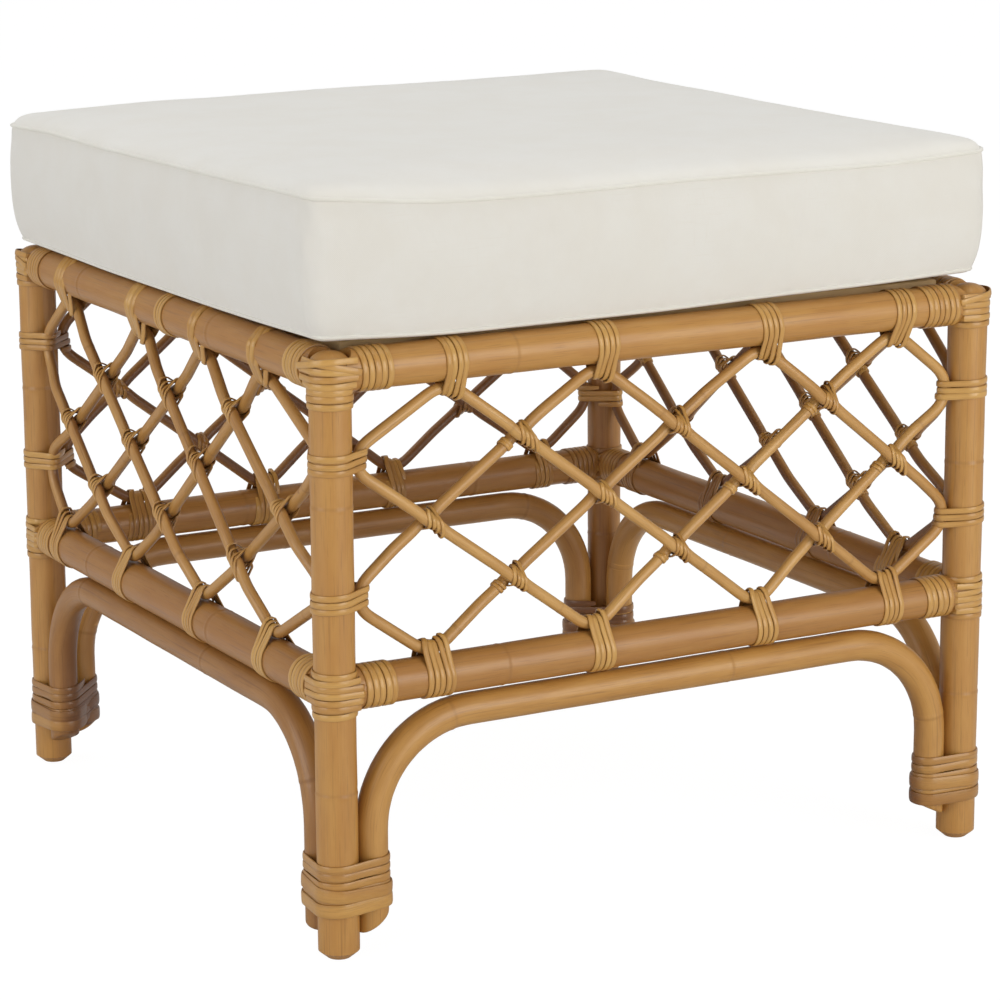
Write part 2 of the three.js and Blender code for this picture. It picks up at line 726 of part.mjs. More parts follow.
function addCushion(model) {
  const outer = solidOf(pillowGeometry(0, OUTER_FORM));
  const cavity = solidOf(pillowGeometry(-COVER_WALL, INNER_FORM));
  const wall = outer.subtract(cavity);
  const back = LEG_SPACING_Y / 2 + CUSHION_OVERHANG;
  const zipHeight = (SEAM_BOTTOM + SEAM_TOP) / 2;
  const slotDepth = 2 * CUSHION_CORNER_RADIUS;
  const slotBlock = (trim) => solidOf(
    new THREE.BoxGeometry(ZIP_LENGTH - 2 * trim, slotDepth, ZIP_WIDTH - 2 * trim)
      .translate(0, back, zipHeight),
  );
  const cover = geometryOf(wall.subtract(slotBlock(0)));
  const zip = geometryOf(wall.intersect(slotBlock(FIT_GAP)));
  const foam = pillowGeometry(-COVER_WALL - FIT_GAP, INNER_FORM);
  model.add(pieceOf('cushion_cover', cover, COVER_COLOUR, 0.95));
  model.add(pieceOf('cushion_zip', zip, ZIP_COLOUR, 0.8));
  model.add(pieceOf('cushion_foam', foam, FOAM_COLOUR, 1));
  const topPiping = pipingGeometry(SEAM_DROP, SEAM_TOP + SEAM_DROP);
  const bottomPiping = pipingGeometry(SEAM_DROP - CUSHION_TAPER, SEAM_BOTTOM - SEAM_DROP);
  model.add(pieceOf('cushion_piping_top', topPiping, PIPING_COLOUR, 0.95));
  model.add(pieceOf('cushion_piping_bottom', bottomPiping, PIPING_COLOUR, 0.95));
}

// Piping is one length whose two ends meet in the middle of the back.
function pipingGeometry(growth, height) {
  const outline = cushionOutline(growth, OUTER_FORM);
  const stations = outline.map((place) => new THREE.Vector3(place.x, place.y, height));
  return rodGeometry(buttEnded([...stations, stations[0]]), PIPING_RADIUS, PIPING_SIDES);
}

// The assembly

function addSide(model, side, index) {
  const spacing = sideSpacing(index);
  const out = sideSpacing(index + 1) / 2;
  const group = new THREE.Group();
  group.rotation.z = (index * Math.PI) / 2;
  group.position.set(0, -out, 0).applyAxisAngle(UP, group.rotation.z);
  [['top', TOP_RAIL_HEIGHT], ['lower', LOWER_RAIL_HEIGHT]].forEach(([level, height]) => {
    const rail = pieceOf(`${level}_rail_${side}`, railGeometry(spacing, height), FRAME_COLOUR, 0.45);
    rail.position.z = height;
    group.add(rail);
  });
  group.add(pieceOf(`arch_${side}`, archGeometry(spacing), BRACE_COLOUR, 0.45));
  caneRuns().forEach((run, cane) => {
    const label = String.fromCharCode('a'.charCodeAt(0) + cane);
    const geometry = caneGeometry(spacing, side, run);
    group.add(pieceOf(`lattice_cane_${side}_${label}`, geometry, CANE_COLOUR, 0.5));
  });
  model.add(group);
}

function addCorner(model, corner, index) {
  const group = new THREE.Group();
  const right = index === 1 || index === 2;
  const rear = index > 1;
  group.position.set(
    (right ? 1 : -1) * (LEG_SPACING_X / 2),
    (rear ? 1 : -1) * (LEG_SPACING_Y / 2),
    0,
  );
  group.rotation.z = (index * Math.PI) / 2;
  group.add(pieceOf(`leg_${corner}`, legGeometry(), FRAME_COLOUR, 0.45));

  const topBinding = bindingGeometry(
    TOP_RAIL_HEIGHT, TOP_RAIL_HEIGHT - BINDING_RADIUS - TOP_BINDING_DROP, DECK_TOP, true,
  );
  const lowerBinding = bindingGeometry(
    LOWER_RAIL_HEIGHT,
    LOWER_RAIL_HEIGHT - BINDING_RADIUS - LOWER_BINDING_OVERHANG,
    LOWER_RAIL_HEIGHT + BINDING_RADIUS + LOWER_BINDING_OVERHANG,
    false,
  );
  group.add(pieceOf(`top_binding_${corner}`, topBinding, PEEL_COLOUR, 0.5));
  group.add(pieceOf(`lower_binding_${corner}`, lowerBinding, PEEL_COLOUR, 0.5));

  const footWrap = windingGeometry(footBundle(), FOOT_WRAP_HEIGHT, FOOT_PEEL_WIDTH, FOOT_TURNS);
  group.add(pieceOf(`foot_wrap_${corner}`, footWrap, PEEL_COLOUR, 0.5));

  const grid = latticeGrid(sideSpacing(index));
  [['upper', 1], ['lower', LATTICE_ROWS - 1]].forEach(([level, row]) => {
    const bottom = grid.place(0, row).y - lashingHeight() / 2;
    const bundle = legBundle(index, row);
    const lashing = windingGeometry(bundle, bottom, LASHING_PEEL_WIDTH, LASHING_TURNS);
    group.add(pieceOf(`leg_lashing_${corner}_${level}`, lashing, PEEL_COLOUR, 0.5));
  });
  model.add(group);
}

const ottoman = new THREE.Group();
SIDES.forEach((side, index) => addSide(ottoman, side, index));
CORNERS.forEach((corner, index) => addCorner(ottoman, corner, index));
addDeck(ottoman);
addCushion(ottoman);
console.log(`Least gap between the turns of a winding: ${leastTurnGap.toFixed(2)} mm`);

export default ottoman;
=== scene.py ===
import logging
import math
import random
from dataclasses import dataclass, field
from enum import Enum
from typing import Callable

import bpy
import numpy as np
from bpy.types import ID, Material, Node, NodeOutputs, NodeSocket, NodeTree, Object
from mathutils import Matrix, Vector, noise
from mathutils.bvhtree import BVHTree


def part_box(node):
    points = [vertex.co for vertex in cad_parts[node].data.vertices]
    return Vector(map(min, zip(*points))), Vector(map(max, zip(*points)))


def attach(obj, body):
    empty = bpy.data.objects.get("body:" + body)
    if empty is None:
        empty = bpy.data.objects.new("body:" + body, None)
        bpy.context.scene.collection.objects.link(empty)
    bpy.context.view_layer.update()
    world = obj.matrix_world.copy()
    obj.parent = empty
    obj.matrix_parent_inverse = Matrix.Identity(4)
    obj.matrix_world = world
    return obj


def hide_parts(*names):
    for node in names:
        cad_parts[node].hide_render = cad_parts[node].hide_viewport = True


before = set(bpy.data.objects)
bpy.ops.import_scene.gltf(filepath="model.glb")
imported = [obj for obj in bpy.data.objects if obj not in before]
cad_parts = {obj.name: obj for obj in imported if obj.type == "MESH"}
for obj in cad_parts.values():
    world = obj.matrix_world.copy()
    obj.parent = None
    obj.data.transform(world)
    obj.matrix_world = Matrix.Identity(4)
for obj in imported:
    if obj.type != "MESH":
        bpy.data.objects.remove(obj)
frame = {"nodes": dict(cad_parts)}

logging.basicConfig(level=logging.INFO, format="%(message)s")
LOG = logging.getLogger("ottoman")
Array = np.ndarray

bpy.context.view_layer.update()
RIGHTWARD, BACKWARD, UP = np.eye(3)
FIBRE, TONE, MARK = "fibre", "tone", "mark"
INWARD = RIGHTWARD + BACKWARD
# How much darker the tone is painted on faces turned in towards the middle: painted shade for the
# dark inside of the frame.
INWARD_SHADE = 1.9
GRAIN_SPREAD = 5.0


# Names

class Labelled(Enum):
    """Named options, with their names as the pieces and the record write them."""

    @property
    def label(self) -> str:
        """The option's name in lower case."""
        return self.name.lower()


class Slot(Labelled):
    """The record's material slots."""

    POLE, BRACE, CANE, PEEL, DECK, COVER, PIPING, ZIP, FOAM = range(9)


class Body(Labelled):
    """The record's bodies."""

    FRAME, CUSHION = range(2)


class Level(Labelled):
    """The two heights at which rails run."""

    LOWER, TOP = range(2)


class Side(Labelled):
    """The four sides, each with how many quarter turns it stands from the front."""

    FRONT, RIGHT, BACK, LEFT = range(4)


class Corner(Labelled):
    """The four corners, each with how many quarter turns it stands from the front left."""

    FRONT_LEFT, FRONT_RIGHT, BACK_RIGHT, BACK_LEFT = range(4)


# Plain geometry

Trim = tuple[tuple[float, float], ...]


def unit(vectors: Array) -> Array:
    """Return vectors of the same directions with length one."""
    return vectors / np.maximum(np.linalg.norm(vectors, axis=-1, keepdims=True), 1e-12)


def bell(gap: Array, width: float) -> Array:
    """Return one where the gap is nothing, falling off smoothly over the width."""
    return np.exp(-(gap / width) ** 2)


def circle(count: int) -> Array:
    """Return the cosine and the sine of even angles round a circle, a pair a row."""
    angles = np.linspace(0, 2 * math.pi, count, endpoint=False)
    return np.stack([np.cos(angles), np.sin(angles)], axis=1)


def quarter_turned(points: Array, turns: int) -> Array:
    """Return points turned anticlockwise about the upright axis by quarter turns."""
    cos, sin = ((1, 0), (0, 1), (-1, 0), (0, -1))[turns % 4]
    return points @ np.array([[cos, sin, 0.0], [-sin, cos, 0.0], [0.0, 0.0, 1.0]])


def distances(points: Array) -> Array:
    """Return how far along a polyline each of its points is."""
    return np.concatenate([[0.0], np.cumsum(np.linalg.norm(np.diff(points, axis=0), axis=1))])


def points_at(points: Array, wanted: Array) -> Array:
    """Return the points of a polyline at the wanted distances along it."""
    along = distances(points)
    return np.stack([np.interp(wanted, along, points[:, axis]) for axis in range(3)], axis=1)


def resampled(points: Array, step: float) -> Array:
    """Return even points about a step apart along a polyline, from its start to its end."""
    length = distances(points)[-1]
    return points_at(points, np.linspace(0.0, length, max(2, int(round(length / step)) + 1)))


def directions(points: Array, closed: bool) -> Array:
    """Return which way a line, or a loop if closed, runs at each of its points."""
    loop = np.roll(points, -1, axis=0) - np.roll(points, 1, axis=0)
    return unit(loop if closed else np.gradient(points, axis=0))


def eased(points: Array, passes: int) -> Array:
    """Round the corners of a polyline, with its two ends held.

    Args:
        points: Evenly spaced points.
        passes: How often each point moves to the mean of its neighbours.

    Returns:
        The smoother line.
    """
    line = points.copy()
    for _ in range(passes):
        line[1:-1] = 0.25 * line[:-2] + 0.5 * line[1:-1] + 0.25 * line[2:]
    return line


def convex_hull(points: Array) -> Array:
    """Find the convex hull of points in a plane.

    Args:
        points: One point a row.

    Returns:
        The hull's corners, anticlockwise.
    """
    ordered = sorted(set(map(tuple, np.round(points, 7))))

    def half(row: list) -> list:
        """Follow the hull on one side of the sorted points.

        Args:
            row: The points in order along the plane.

        Returns:
            The corners passed, without the last.
        """
        chain: list = []
        for point in row:
            while len(chain) > 1:
                (ax, ay), (bx, by) = chain[-2], chain[-1]
                if (bx - ax) * (point[1] - ay) - (by - ay) * (point[0] - ax) > 0:
                    break
                chain.pop()
            chain.append(point)
        return chain[:-1]

    return np.array(half(ordered) + half(ordered[::-1]))


def taut_outline(points: Array, clearance: float, samples: int) -> Array:
    """Lay a taut line round a bundle, seen in the plane across it.

    Args:
        points: Points on the bundle's surface, in the plane.
        clearance: How far the line stays off them.
        samples: How many points the line gets, at even angles about the bundle's middle.

    Returns:
        The line's points.
    """
    hull = convex_hull(points)
    middle = (hull.min(0) + hull.max(0)) / 2
    disc = clearance * circle(12)
    grown = convex_hull((hull[:, None, :] + disc[None, :, :]).reshape(-1, 2)) - middle
    bearing = np.arctan2(grown[:, 1], grown[:, 0])
    order = np.argsort(bearing)
    grown, bearing = grown[order], bearing[order]
    wanted = np.linspace(-math.pi, math.pi, samples, endpoint=False)
    last = np.searchsorted(bearing, wanted) % len(grown)
    a, b = grown[last - 1], grown[last]
    ray = np.stack([np.cos(wanted), np.sin(wanted)], axis=1)
    edge = b - a
    cross = ray[:, 0] * edge[:, 1] - ray[:, 1] * edge[:, 0]
    reach = (a[:, 0] * edge[:, 1] - a[:, 1] * edge[:, 0]) / cross
    return ray * reach[:, None] + middle


def tube_faces(rings: int, sides: int, closed: bool) -> list[list[int]]:
    """List the faces of a tube.

    Args:
        rings: How many rings of points it has.
        sides: How many points a ring has.
        closed: Whether its last ring joins its first.

    Returns:
        Quads, and a face over each end unless it is closed.
    """
    faces = []
    for ring in range(rings if closed else rings - 1):
        here, there = ring * sides, ((ring + 1) % rings) * sides
        for side in range(sides):
            after = (side + 1) % sides
            faces.append([here + side, here + after, there + after, there + side])
    if not closed:
        faces.append(list(range(sides))[::-1])
        faces.append([(rings - 1) * sides + side for side in range(sides)])
    return faces


def grid_faces(cells: int) -> list[list[int]]:
    """List the faces of a square grid, over points in rows.

    Args:
        cells: How many cells each side has.

    Returns:
        The faces as lists of corners.
    """
    size = cells + 1
    return [[i * size + j, (i + 1) * size + j, (i + 1) * size + j + 1, i * size + j + 1]
            for i in range(cells) for j in range(cells)]


def linked(name: str, data: ID) -> Object:
    """Make an object of a mesh, a lamp or a camera.

    Args:
        name: The object's name.
        data: The mesh, lamp or camera.

    Returns:
        The new object, linked to the scene.
    """
    made = bpy.data.objects.new(name, data)
    bpy.context.scene.collection.objects.link(made)
    return made


def fibre_places(across: Array, beside: Array, along: Array,
                 draw: random.Random) -> Array:
    """Return the place in the grain of each point of a swept piece, shifted at random."""
    shift = np.array([draw.uniform(-GRAIN_SPREAD, GRAIN_SPREAD) for _ in range(3)])
    return np.stack(np.broadcast_arrays(across, beside, along), axis=2) + shift


@dataclass
class Skin:
    """A surface under construction, with what its material reads at each point."""

    points: list[Array] = field(default_factory=list)
    faces: list[list[int]] = field(default_factory=list)
    fibre: list[Array] = field(default_factory=list)
    tone: list[Array] = field(default_factory=list)
    mark: list[Array] = field(default_factory=list)
    count: int = 0

    def add(self, points: Array, fibre: Array, tone: float | Array = 0.0,
            mark: float | Array = 0.0, closed: bool = False, flipped: bool = False) -> None:
        """Add a tube.

        Args:
            points: Its points, by ring and side.
            fibre: For each point its place in the grain: two places across and one along.
            tone: How light or dark it is, from -1 to 1, or lower for a darker brown, which also
                carries painted shade.
            mark: A mask that the material darkens.
            closed: Whether the last ring joins the first.
            flipped: Whether the rings turn the other way round.
        """
        rings, sides = points.shape[:2]
        order = -1 if flipped else 1
        self.faces += [[self.count + index for index in face[::order]]
                       for face in tube_faces(rings, sides, closed)]
        self.points.append(points.reshape(-1, 3))
        self.fibre.append(fibre.reshape(-1, 3))
        self.tone.append(np.broadcast_to(tone, (rings, sides)).ravel())
        self.mark.append(np.broadcast_to(mark, (rings, sides)).ravel())
        self.count += rings * sides

    def place(self) -> Array:
        """Return all points so far in one array."""
        return np.concatenate(self.points)

    def move(self, mover: Callable[[Array], Array]) -> None:
        """Move all points so far with a function of them."""
        self.points = [mover(self.place())]

    def to_object(self, name: str, sharp: float = 38.0,
                  browning: float = INWARD_SHADE) -> Object:
        """Make the mesh object.

        Args:
            name: The piece's name.
            sharp: The angle in degrees above which an edge stays sharp.
            browning: How much darker the tone is painted on faces turned inwards, as painted shade.

        Returns:
            The new object, linked to the scene.
        """
        mesh = bpy.data.meshes.new(name)
        mesh.from_pydata(self.place().tolist(), [], self.faces)
        mesh.validate()
        normals = np.zeros(3 * self.count)
        mesh.vertex_normals.foreach_get("vector", normals)
        # Faces turned in towards the middle of the frame get a lower tone: painted shade for its
        # dark inside.
        inward = -unit(self.place()[:, :2])
        inward_shade_mask = np.clip((normals.reshape(-1, 3)[:, :2] * inward).sum(1), 0, 1)
        for key, kind, slot, values in (
            (FIBRE, "FLOAT_VECTOR", "vector", np.concatenate(self.fibre)),
            (TONE, "FLOAT", "value", np.concatenate(self.tone) - browning * inward_shade_mask ** 0.7),
            (MARK, "FLOAT", "value", np.concatenate(self.mark)),
        ):
            attribute = mesh.attributes.new(key, kind, "POINT")
            attribute.data.foreach_set(slot, np.asarray(values, np.float32).ravel())
        mesh.shade_smooth()
        mesh.set_sharp_from_angle(angle=math.radians(sharp))
        mesh.update()
        return linked(name, mesh)


def carried_frames(points: Array, first: Array,
                   closed: bool) -> tuple[Array, Array]:
    """Carry a frame along a line without twist.

    Args:
        points: The line.
        first: A direction across the line at its start.
        closed: Whether the line's end joins its start.

    Returns:
        Two directions across the line at each point.
    """
    tangents = directions(points, closed)
    across = np.empty_like(points)
    held = first
    for index, tangent in enumerate(tangents):
        held = unit(held - tangent * np.dot(held, tangent))
        across[index] = held
    return across, np.cross(tangents, across)


def rounded_end(height: float, radius: float, first: float = 0.0, count: int = 4) -> Trim:
    """Return a rounded end as pairs of a distance from it and how much thinner it is there."""
    turns = np.linspace(first, math.pi / 2, count)
    return tuple((height * (1 - math.cos(turn)), radius * (1 - math.sin(turn))) for turn in turns)


@dataclass(frozen=True)
class NodeRing:
    """The swollen ring at a node of a rattan stick, with a groove and a dark line beside it."""

    reach: float = 0.006
    stations: int = 13
    swell: float = 0.018
    swell_width: float = 0.0013
    groove: float = 0.010
    groove_place: float = 0.0032
    groove_width: float = 0.0018
    line_place: float = 0.0014
    line_width: float = 0.0011


@dataclass
class Stick:
    """A round rattan stick swept along a line, with its node rings and slight unevenness."""

    points: Array
    radius: float
    sides: int
    seed: int
    nodes: tuple[float, ...] = ()
    start_trim: Trim = ()
    end_trim: Trim = ()
    uneven: float = 0.012
    closed: bool = False
    first: Array = field(default_factory=lambda: np.array([0.13, 0.21, 0.97]))
    tone: float | None = None
    ring: NodeRing = NodeRing()
    waves: tuple[float, ...] = (23.0, 51.0, 88.0)

    def stations(self) -> Array:
        """Choose where the rings of points go.

        Returns:
            How far along each is: the line's own points, and more at each node and trim.
        """
        along = distances(self.points)
        steps = np.linspace(-self.ring.reach, self.ring.reach, self.ring.stations)
        extra = [node + step for node in self.nodes for step in steps]
        extra += [place for place, _ in self.start_trim]
        extra += [along[-1] - place for place, _ in self.end_trim]
        inside = [place for place in extra if 0 < place < along[-1]]
        wanted = np.array(sorted(set(along.tolist() + inside)))
        return wanted[np.concatenate([[True], np.diff(wanted) > 1e-4])]

    def radii(self, along: Array) -> Array:
        """Work out the stick's radius.

        Args:
            along: How far along the stick each ring is.

        Returns:
            The radius of each ring.
        """
        draw, ring = random.Random(self.seed), self.ring
        phases = [draw.uniform(0, 2 * math.pi) for _ in self.waves]
        wave = sum(np.sin(along * turn + phase) for turn, phase in zip(self.waves, phases)) / 3
        radius = self.radius * (1 + self.uneven * wave)
        for node in self.nodes:
            gap = along - node
            radius += self.radius * ring.swell * bell(gap, ring.swell_width)
            radius -= self.radius * ring.groove * bell(gap - ring.groove_place, ring.groove_width)
        for trim, gap in ((self.start_trim, along), (self.end_trim, along[-1] - along)):
            if trim:
                radius = radius - np.interp(gap, *zip(*trim))
        return radius

    def build(self, skin: Skin) -> None:
        """Add the stick to a skin.

        Args:
            skin: The skin that gets it.
        """
        draw = random.Random(self.seed + 1)
        along = self.stations()
        line = points_at(self.points, along)
        if self.closed:
            line, along = line[:-1], along[:-1]
        radii = self.radii(along)
        across, beside = carried_frames(line, self.first, self.closed)
        cos, sin = circle(self.sides).T
        spokes = across[:, None, :] * cos[None, :, None] + beside[:, None, :] * sin[None, :, None]
        points = line[:, None, :] + spokes * radii[:, None, None]
        fibre = fibre_places(self.radius * cos, self.radius * sin, along[:, None], draw)
        mark = np.zeros(len(line))
        for node in self.nodes:
            mark = np.maximum(mark, bell(along - node - self.ring.line_place, self.ring.line_width))
        tone = draw.uniform(-1, 1) if self.tone is None else self.tone
        skin.add(points, fibre, tone, mark[:, None], self.closed)


@dataclass(frozen=True)
class Peel:
    """A strip of split cane skin, flat below and slightly domed above, wound taut on a bundle."""

    width: float
    thickness: float = 0.0011
    lift: float = 0.00015
    gap: float = 0.0003
    reach: float = 0.0012
    samples: int = 54
    crowding: float = 0.3
    profile: tuple[tuple[float, float], ...] = (
        (1.0, 0.1), (0.93, 0.66), (0.62, 0.93), (0.0, 1.0), (-0.62, 0.93), (-0.93, 0.66),
        (-1.0, 0.1), (-0.9, -0.1), (0.9, -0.1))

    @property
    def step(self) -> float:
        """How far one turn moves on when turn lies against turn."""
        return self.width + self.gap

    def course(self, plane: Array, height: Array, start: float, step: float, turns: int,
               layer: float) -> Array:
        """Find the taut line of all turns.

        Args:
            plane: The bundle's points in the plane across the axis.
            height: Their places along the axis.
            start: Where the first turn starts.
            step: How far a turn moves on.
            turns: How many turns there are.
            layer: How many strips lie below.

        Returns:
            The line in the plane, from turn to turn.
        """
        clearance = self.lift + layer * self.thickness * 1.02
        outlines = []
        for row in range(turns + 1):
            near = np.abs(height - (start + row * step)) < self.width * 0.5 + self.reach
            outlines.append(taut_outline(plane[near], clearance, self.samples))
        table = np.array(outlines + outlines[-1:])
        row, column = np.divmod(np.arange(turns * self.samples + 1), self.samples)
        share = (column / self.samples)[:, None]
        return table[row, column] * (1 - share) + table[row + 1, column] * share

    def wind(self, skin: Skin, bundle: Array, origin: Array, axis: Array,
             start: float, turns: int, draws: random.Random, inward: Array, layer: float = 0,
             pitch: float | None = None, slack: float = 0.0003,
             pinch: Array | None = None) -> None:
        """Wind a strip round a bundle and add it to a skin.

        Args:
            skin: The skin that gets the strip.
            bundle: Points on the surfaces that it goes round.
            origin: A point on the winding's axis.
            axis: The way in which the winding moves on.
            start: Where the strip's middle starts along the axis.
            turns: How many turns it makes.
            draws: Picks its small irregularities.
            inward: The way to the hidden side, where both ends are tucked in.
            layer: How many strips lie below it.
            pitch: How far a turn moves on. None lays turn against turn, and 0 closes it.
            slack: How far it strays from its even course.
            pinch: The way to the side on which the turns crowd together, if any.
        """
        draw = random.Random(draws.randrange(10 ** 6))
        step = self.step if pitch is None else pitch
        closed = step == 0
        axis = unit(axis)
        across = unit(inward - axis * np.dot(inward, axis))
        beside = np.cross(axis, across)
        local = bundle - origin
        plane = np.stack([local @ -across, local @ -beside], axis=1)
        line = self.course(plane, local @ axis, start, step, turns, layer)
        tick = np.arange(len(line))
        if closed:
            line, tick = line[:-1], tick[:-1]
        tangent = directions(line, closed)
        outward = np.stack([tangent[:, 1], -tangent[:, 0]], axis=1)
        turn = tick / self.samples
        phases = [draw.uniform(0, 2 * math.pi) for _ in range(4)]
        if closed:
            stray = slack * np.sin(2 * math.pi * turn + phases[0])
            swell, tuck = np.ones(len(tick)), np.zeros(len(tick))
        else:
            waves = np.sin(turn * 3.1 + phases[0]) + 0.6 * np.sin(turn * 7.7 + phases[1])
            stray = slack * waves / 1.6
            swell = 1 + 0.05 * np.sin(turn * 2.3 + phases[2])
            fade = np.minimum(tick, tick[::-1]) / max(3, self.samples // 9)
            tuck = (1 - np.clip(fade, 0, 1)) ** 2
        middle = start + step * turn + stray
        if pinch is not None:
            facing = -(outward @ np.array([np.dot(across, pinch), np.dot(beside, pinch)]))
            centre = start + step * (turns - 1) / 2
            crowd = 1 - self.crowding * np.clip(facing, 0, 1) ** 2
            middle = centre + (middle - centre) * crowd
        normal = -across[None, :] * outward[:, :1] - beside[None, :] * outward[:, 1:]
        base = origin - across[None, :] * line[:, :1] - beside[None, :] * line[:, 1:]
        side, height = np.array(self.profile).T
        half = self.width / 2 * swell * (1 - 0.35 * tuck)
        rise = self.thickness * (1 - 0.7 * tuck)
        sink = -self.thickness * 0.9 * tuck
        points = (base[:, None, :]
                  + axis * (middle[:, None] + half[:, None] * side)[..., None]
                  + normal[:, None, :] * (sink[:, None] + rise[:, None] * height)[..., None])
        fibre = fibre_places(self.width / 2 * side, self.thickness * height,
                             distances(base)[:, None], draw)
        drift = draw.uniform(-1, 1) + 0.25 * np.sin(turn * 4.3 + phases[3])
        # The mark darkens the strip towards its edges and its underside.
        skin.add(points, fibre, drift[:, None], np.clip(1.25 * (1 - height), 0, 1), closed)


# Finishes

def linear(red: int, green: int, blue: int) -> tuple[float, ...]:
    """Return a display colour of values up to 255 in linear light, with an alpha of one."""
    shares = [value / 255 for value in (red, green, blue)]
    return (*(s / 12.92 if s <= 0.04045 else ((s + 0.055) / 1.055) ** 2.4 for s in shares), 1.0)


class Graph:
    """Places and joins the nodes of one shader tree."""

    def __init__(self, tree: NodeTree) -> None:
        """Start on a tree, without the nodes that it had."""
        self.tree = tree
        tree.nodes.clear()

    def fill(self, node: Node, values: dict) -> Node:
        """Set the inputs of a node.

        Args:
            node: The node.
            values: What each input gets: an output socket to join, or a plain value.

        Returns:
            The node.
        """
        for key, value in values.items():
            if isinstance(value, NodeSocket):
                self.tree.links.new(value, node.inputs[key])
            else:
                node.inputs[key].default_value = value
        return node

    def node(self, kind: str, values: dict | None = None, **settings: object) -> Node:
        """Place one node.

        Args:
            kind: The node's type, without its ShaderNode prefix, or its full type.
            values: What each input gets.
            settings: The node's own settings.

        Returns:
            The new node.
        """
        full = kind if kind.startswith("Node") else "ShaderNode" + kind
        made = self.tree.nodes.new(full)
        for key, value in settings.items():
            setattr(made, key, value)
        return self.fill(made, values or {})

    def maths(self, operation: str, *values: object, clamp: bool = False) -> NodeSocket:
        """Return the output of a new Math node on sockets or numbers."""
        made = self.node("Math", dict(enumerate(values)), operation=operation, use_clamp=clamp)
        return made.outputs[0]

    def multiplied(self, vector: object, scale: object) -> NodeSocket:
        """Return a vector multiplied by another one, axis by axis."""
        return self.node("VectorMath", {0: vector, 1: scale}, operation="MULTIPLY").outputs[0]

    def mixed(self, share: object, first: object, second: object,
              blend: str = "MIX") -> NodeSocket:
        """Return the first colour with a share of the second one blended in."""
        values = {0: share, 6: first, 7: second}
        return self.node("Mix", values, data_type="RGBA", blend_type=blend).outputs[2]

    def ranged(self, value: object, low: float, high: float, to_low: float = 0.0,
               to_high: float = 1.0, kind: str = "SMOOTHSTEP") -> NodeSocket:
        """Return a value mapped from one range to another, eased unless the kind is LINEAR."""
        values = {0: value, 1: low, 2: high, 3: to_low, 4: to_high}
        return self.node("MapRange", values, interpolation_type=kind).outputs[0]

    def noise(self, vector: object, scale: float, detail: float = 2.0,
              roughness: float = 0.5) -> NodeSocket:
        """Return the value of a new Noise texture with some octaves of detail."""
        values = {"Vector": vector, "Scale": scale, "Detail": detail, "Roughness": roughness}
        return self.node("TexNoise", values).outputs[0]

    def bumped(self, strength: float, depth: float, height: object) -> NodeSocket:
        """Return the normal of a surface with bumps of a height."""
        values = {"Strength": strength, "Distance": depth, "Height": height}
        return self.node("Bump", values).outputs[0]

    def cover(self, shader: Node) -> None:
        """Give a shader to the material's surface."""
        self.node("OutputMaterial", {"Surface": shader.outputs[0]})


def new_material(name: str) -> tuple[Material, Graph]:
    """Start a material.

    Args:
        name: The material's name.

    Returns:
        The material, and the graph of its empty node tree.
    """
    made = bpy.data.materials.new(name)
    made.use_nodes = True
    return made, Graph(made.node_tree)


def shader_group(name: str, inputs: dict[str, str], outputs: dict[str, str]) -> tuple[
        Graph, NodeOutputs, Node]:
    """Start a shader node group.

    Args:
        name: The group's name.
        inputs: The names of its inputs, by their kind of socket.
        outputs: The names of its outputs, by their kind of socket.

    Returns:
        The group's graph, the sockets that give its inputs, and the node that its outputs go to.
    """
    graph = Graph(bpy.data.node_groups.new(name, "ShaderNodeTree"))
    for way, kinds in (("INPUT", inputs), ("OUTPUT", outputs)):
        for kind, labels in kinds.items():
            for label in labels.split():
                graph.tree.interface.new_socket(label, in_out=way, socket_type="NodeSocket" + kind)
    return graph, graph.node("NodeGroupInput").outputs, graph.node("NodeGroupOutput")


def rattan_grain_group() -> NodeTree:
    """Build the grain of rattan: fine fibre streaks, dark flecks and slow mottling.

    Returns:
        The node group.
    """
    graph, given, leave = shader_group(
        "rattan_grain", {"Vector": "Fibre", "Float": "Across Along"},
        {"Float": "Streak Fleck Mottle Height"})
    scale = graph.node("CombineXYZ", {0: given["Across"], 1: given["Across"], 2: given["Along"]})
    stretched = graph.multiplied(given["Fibre"], scale.outputs[0])
    streak = graph.noise(stretched, 1.0, 3.0, 0.6)
    finer = graph.multiplied(stretched, (2.7, 2.7, 3.4))
    fleck = graph.ranged(graph.noise(finer, 1.0, 1.0, 0.5), 0.62, 0.74)
    slow = graph.multiplied(given["Fibre"], (95.0, 95.0, 24.0))
    mottle = graph.noise(slow, 1.0, 3.0, 0.55)
    height = graph.maths("SUBTRACT", graph.maths("MULTIPLY", streak, 0.7),
                         graph.maths("MULTIPLY", fleck, 0.35))
    graph.fill(leave, {"Streak": streak, "Fleck": fleck, "Mottle": mottle, "Height": height})
    return graph.tree


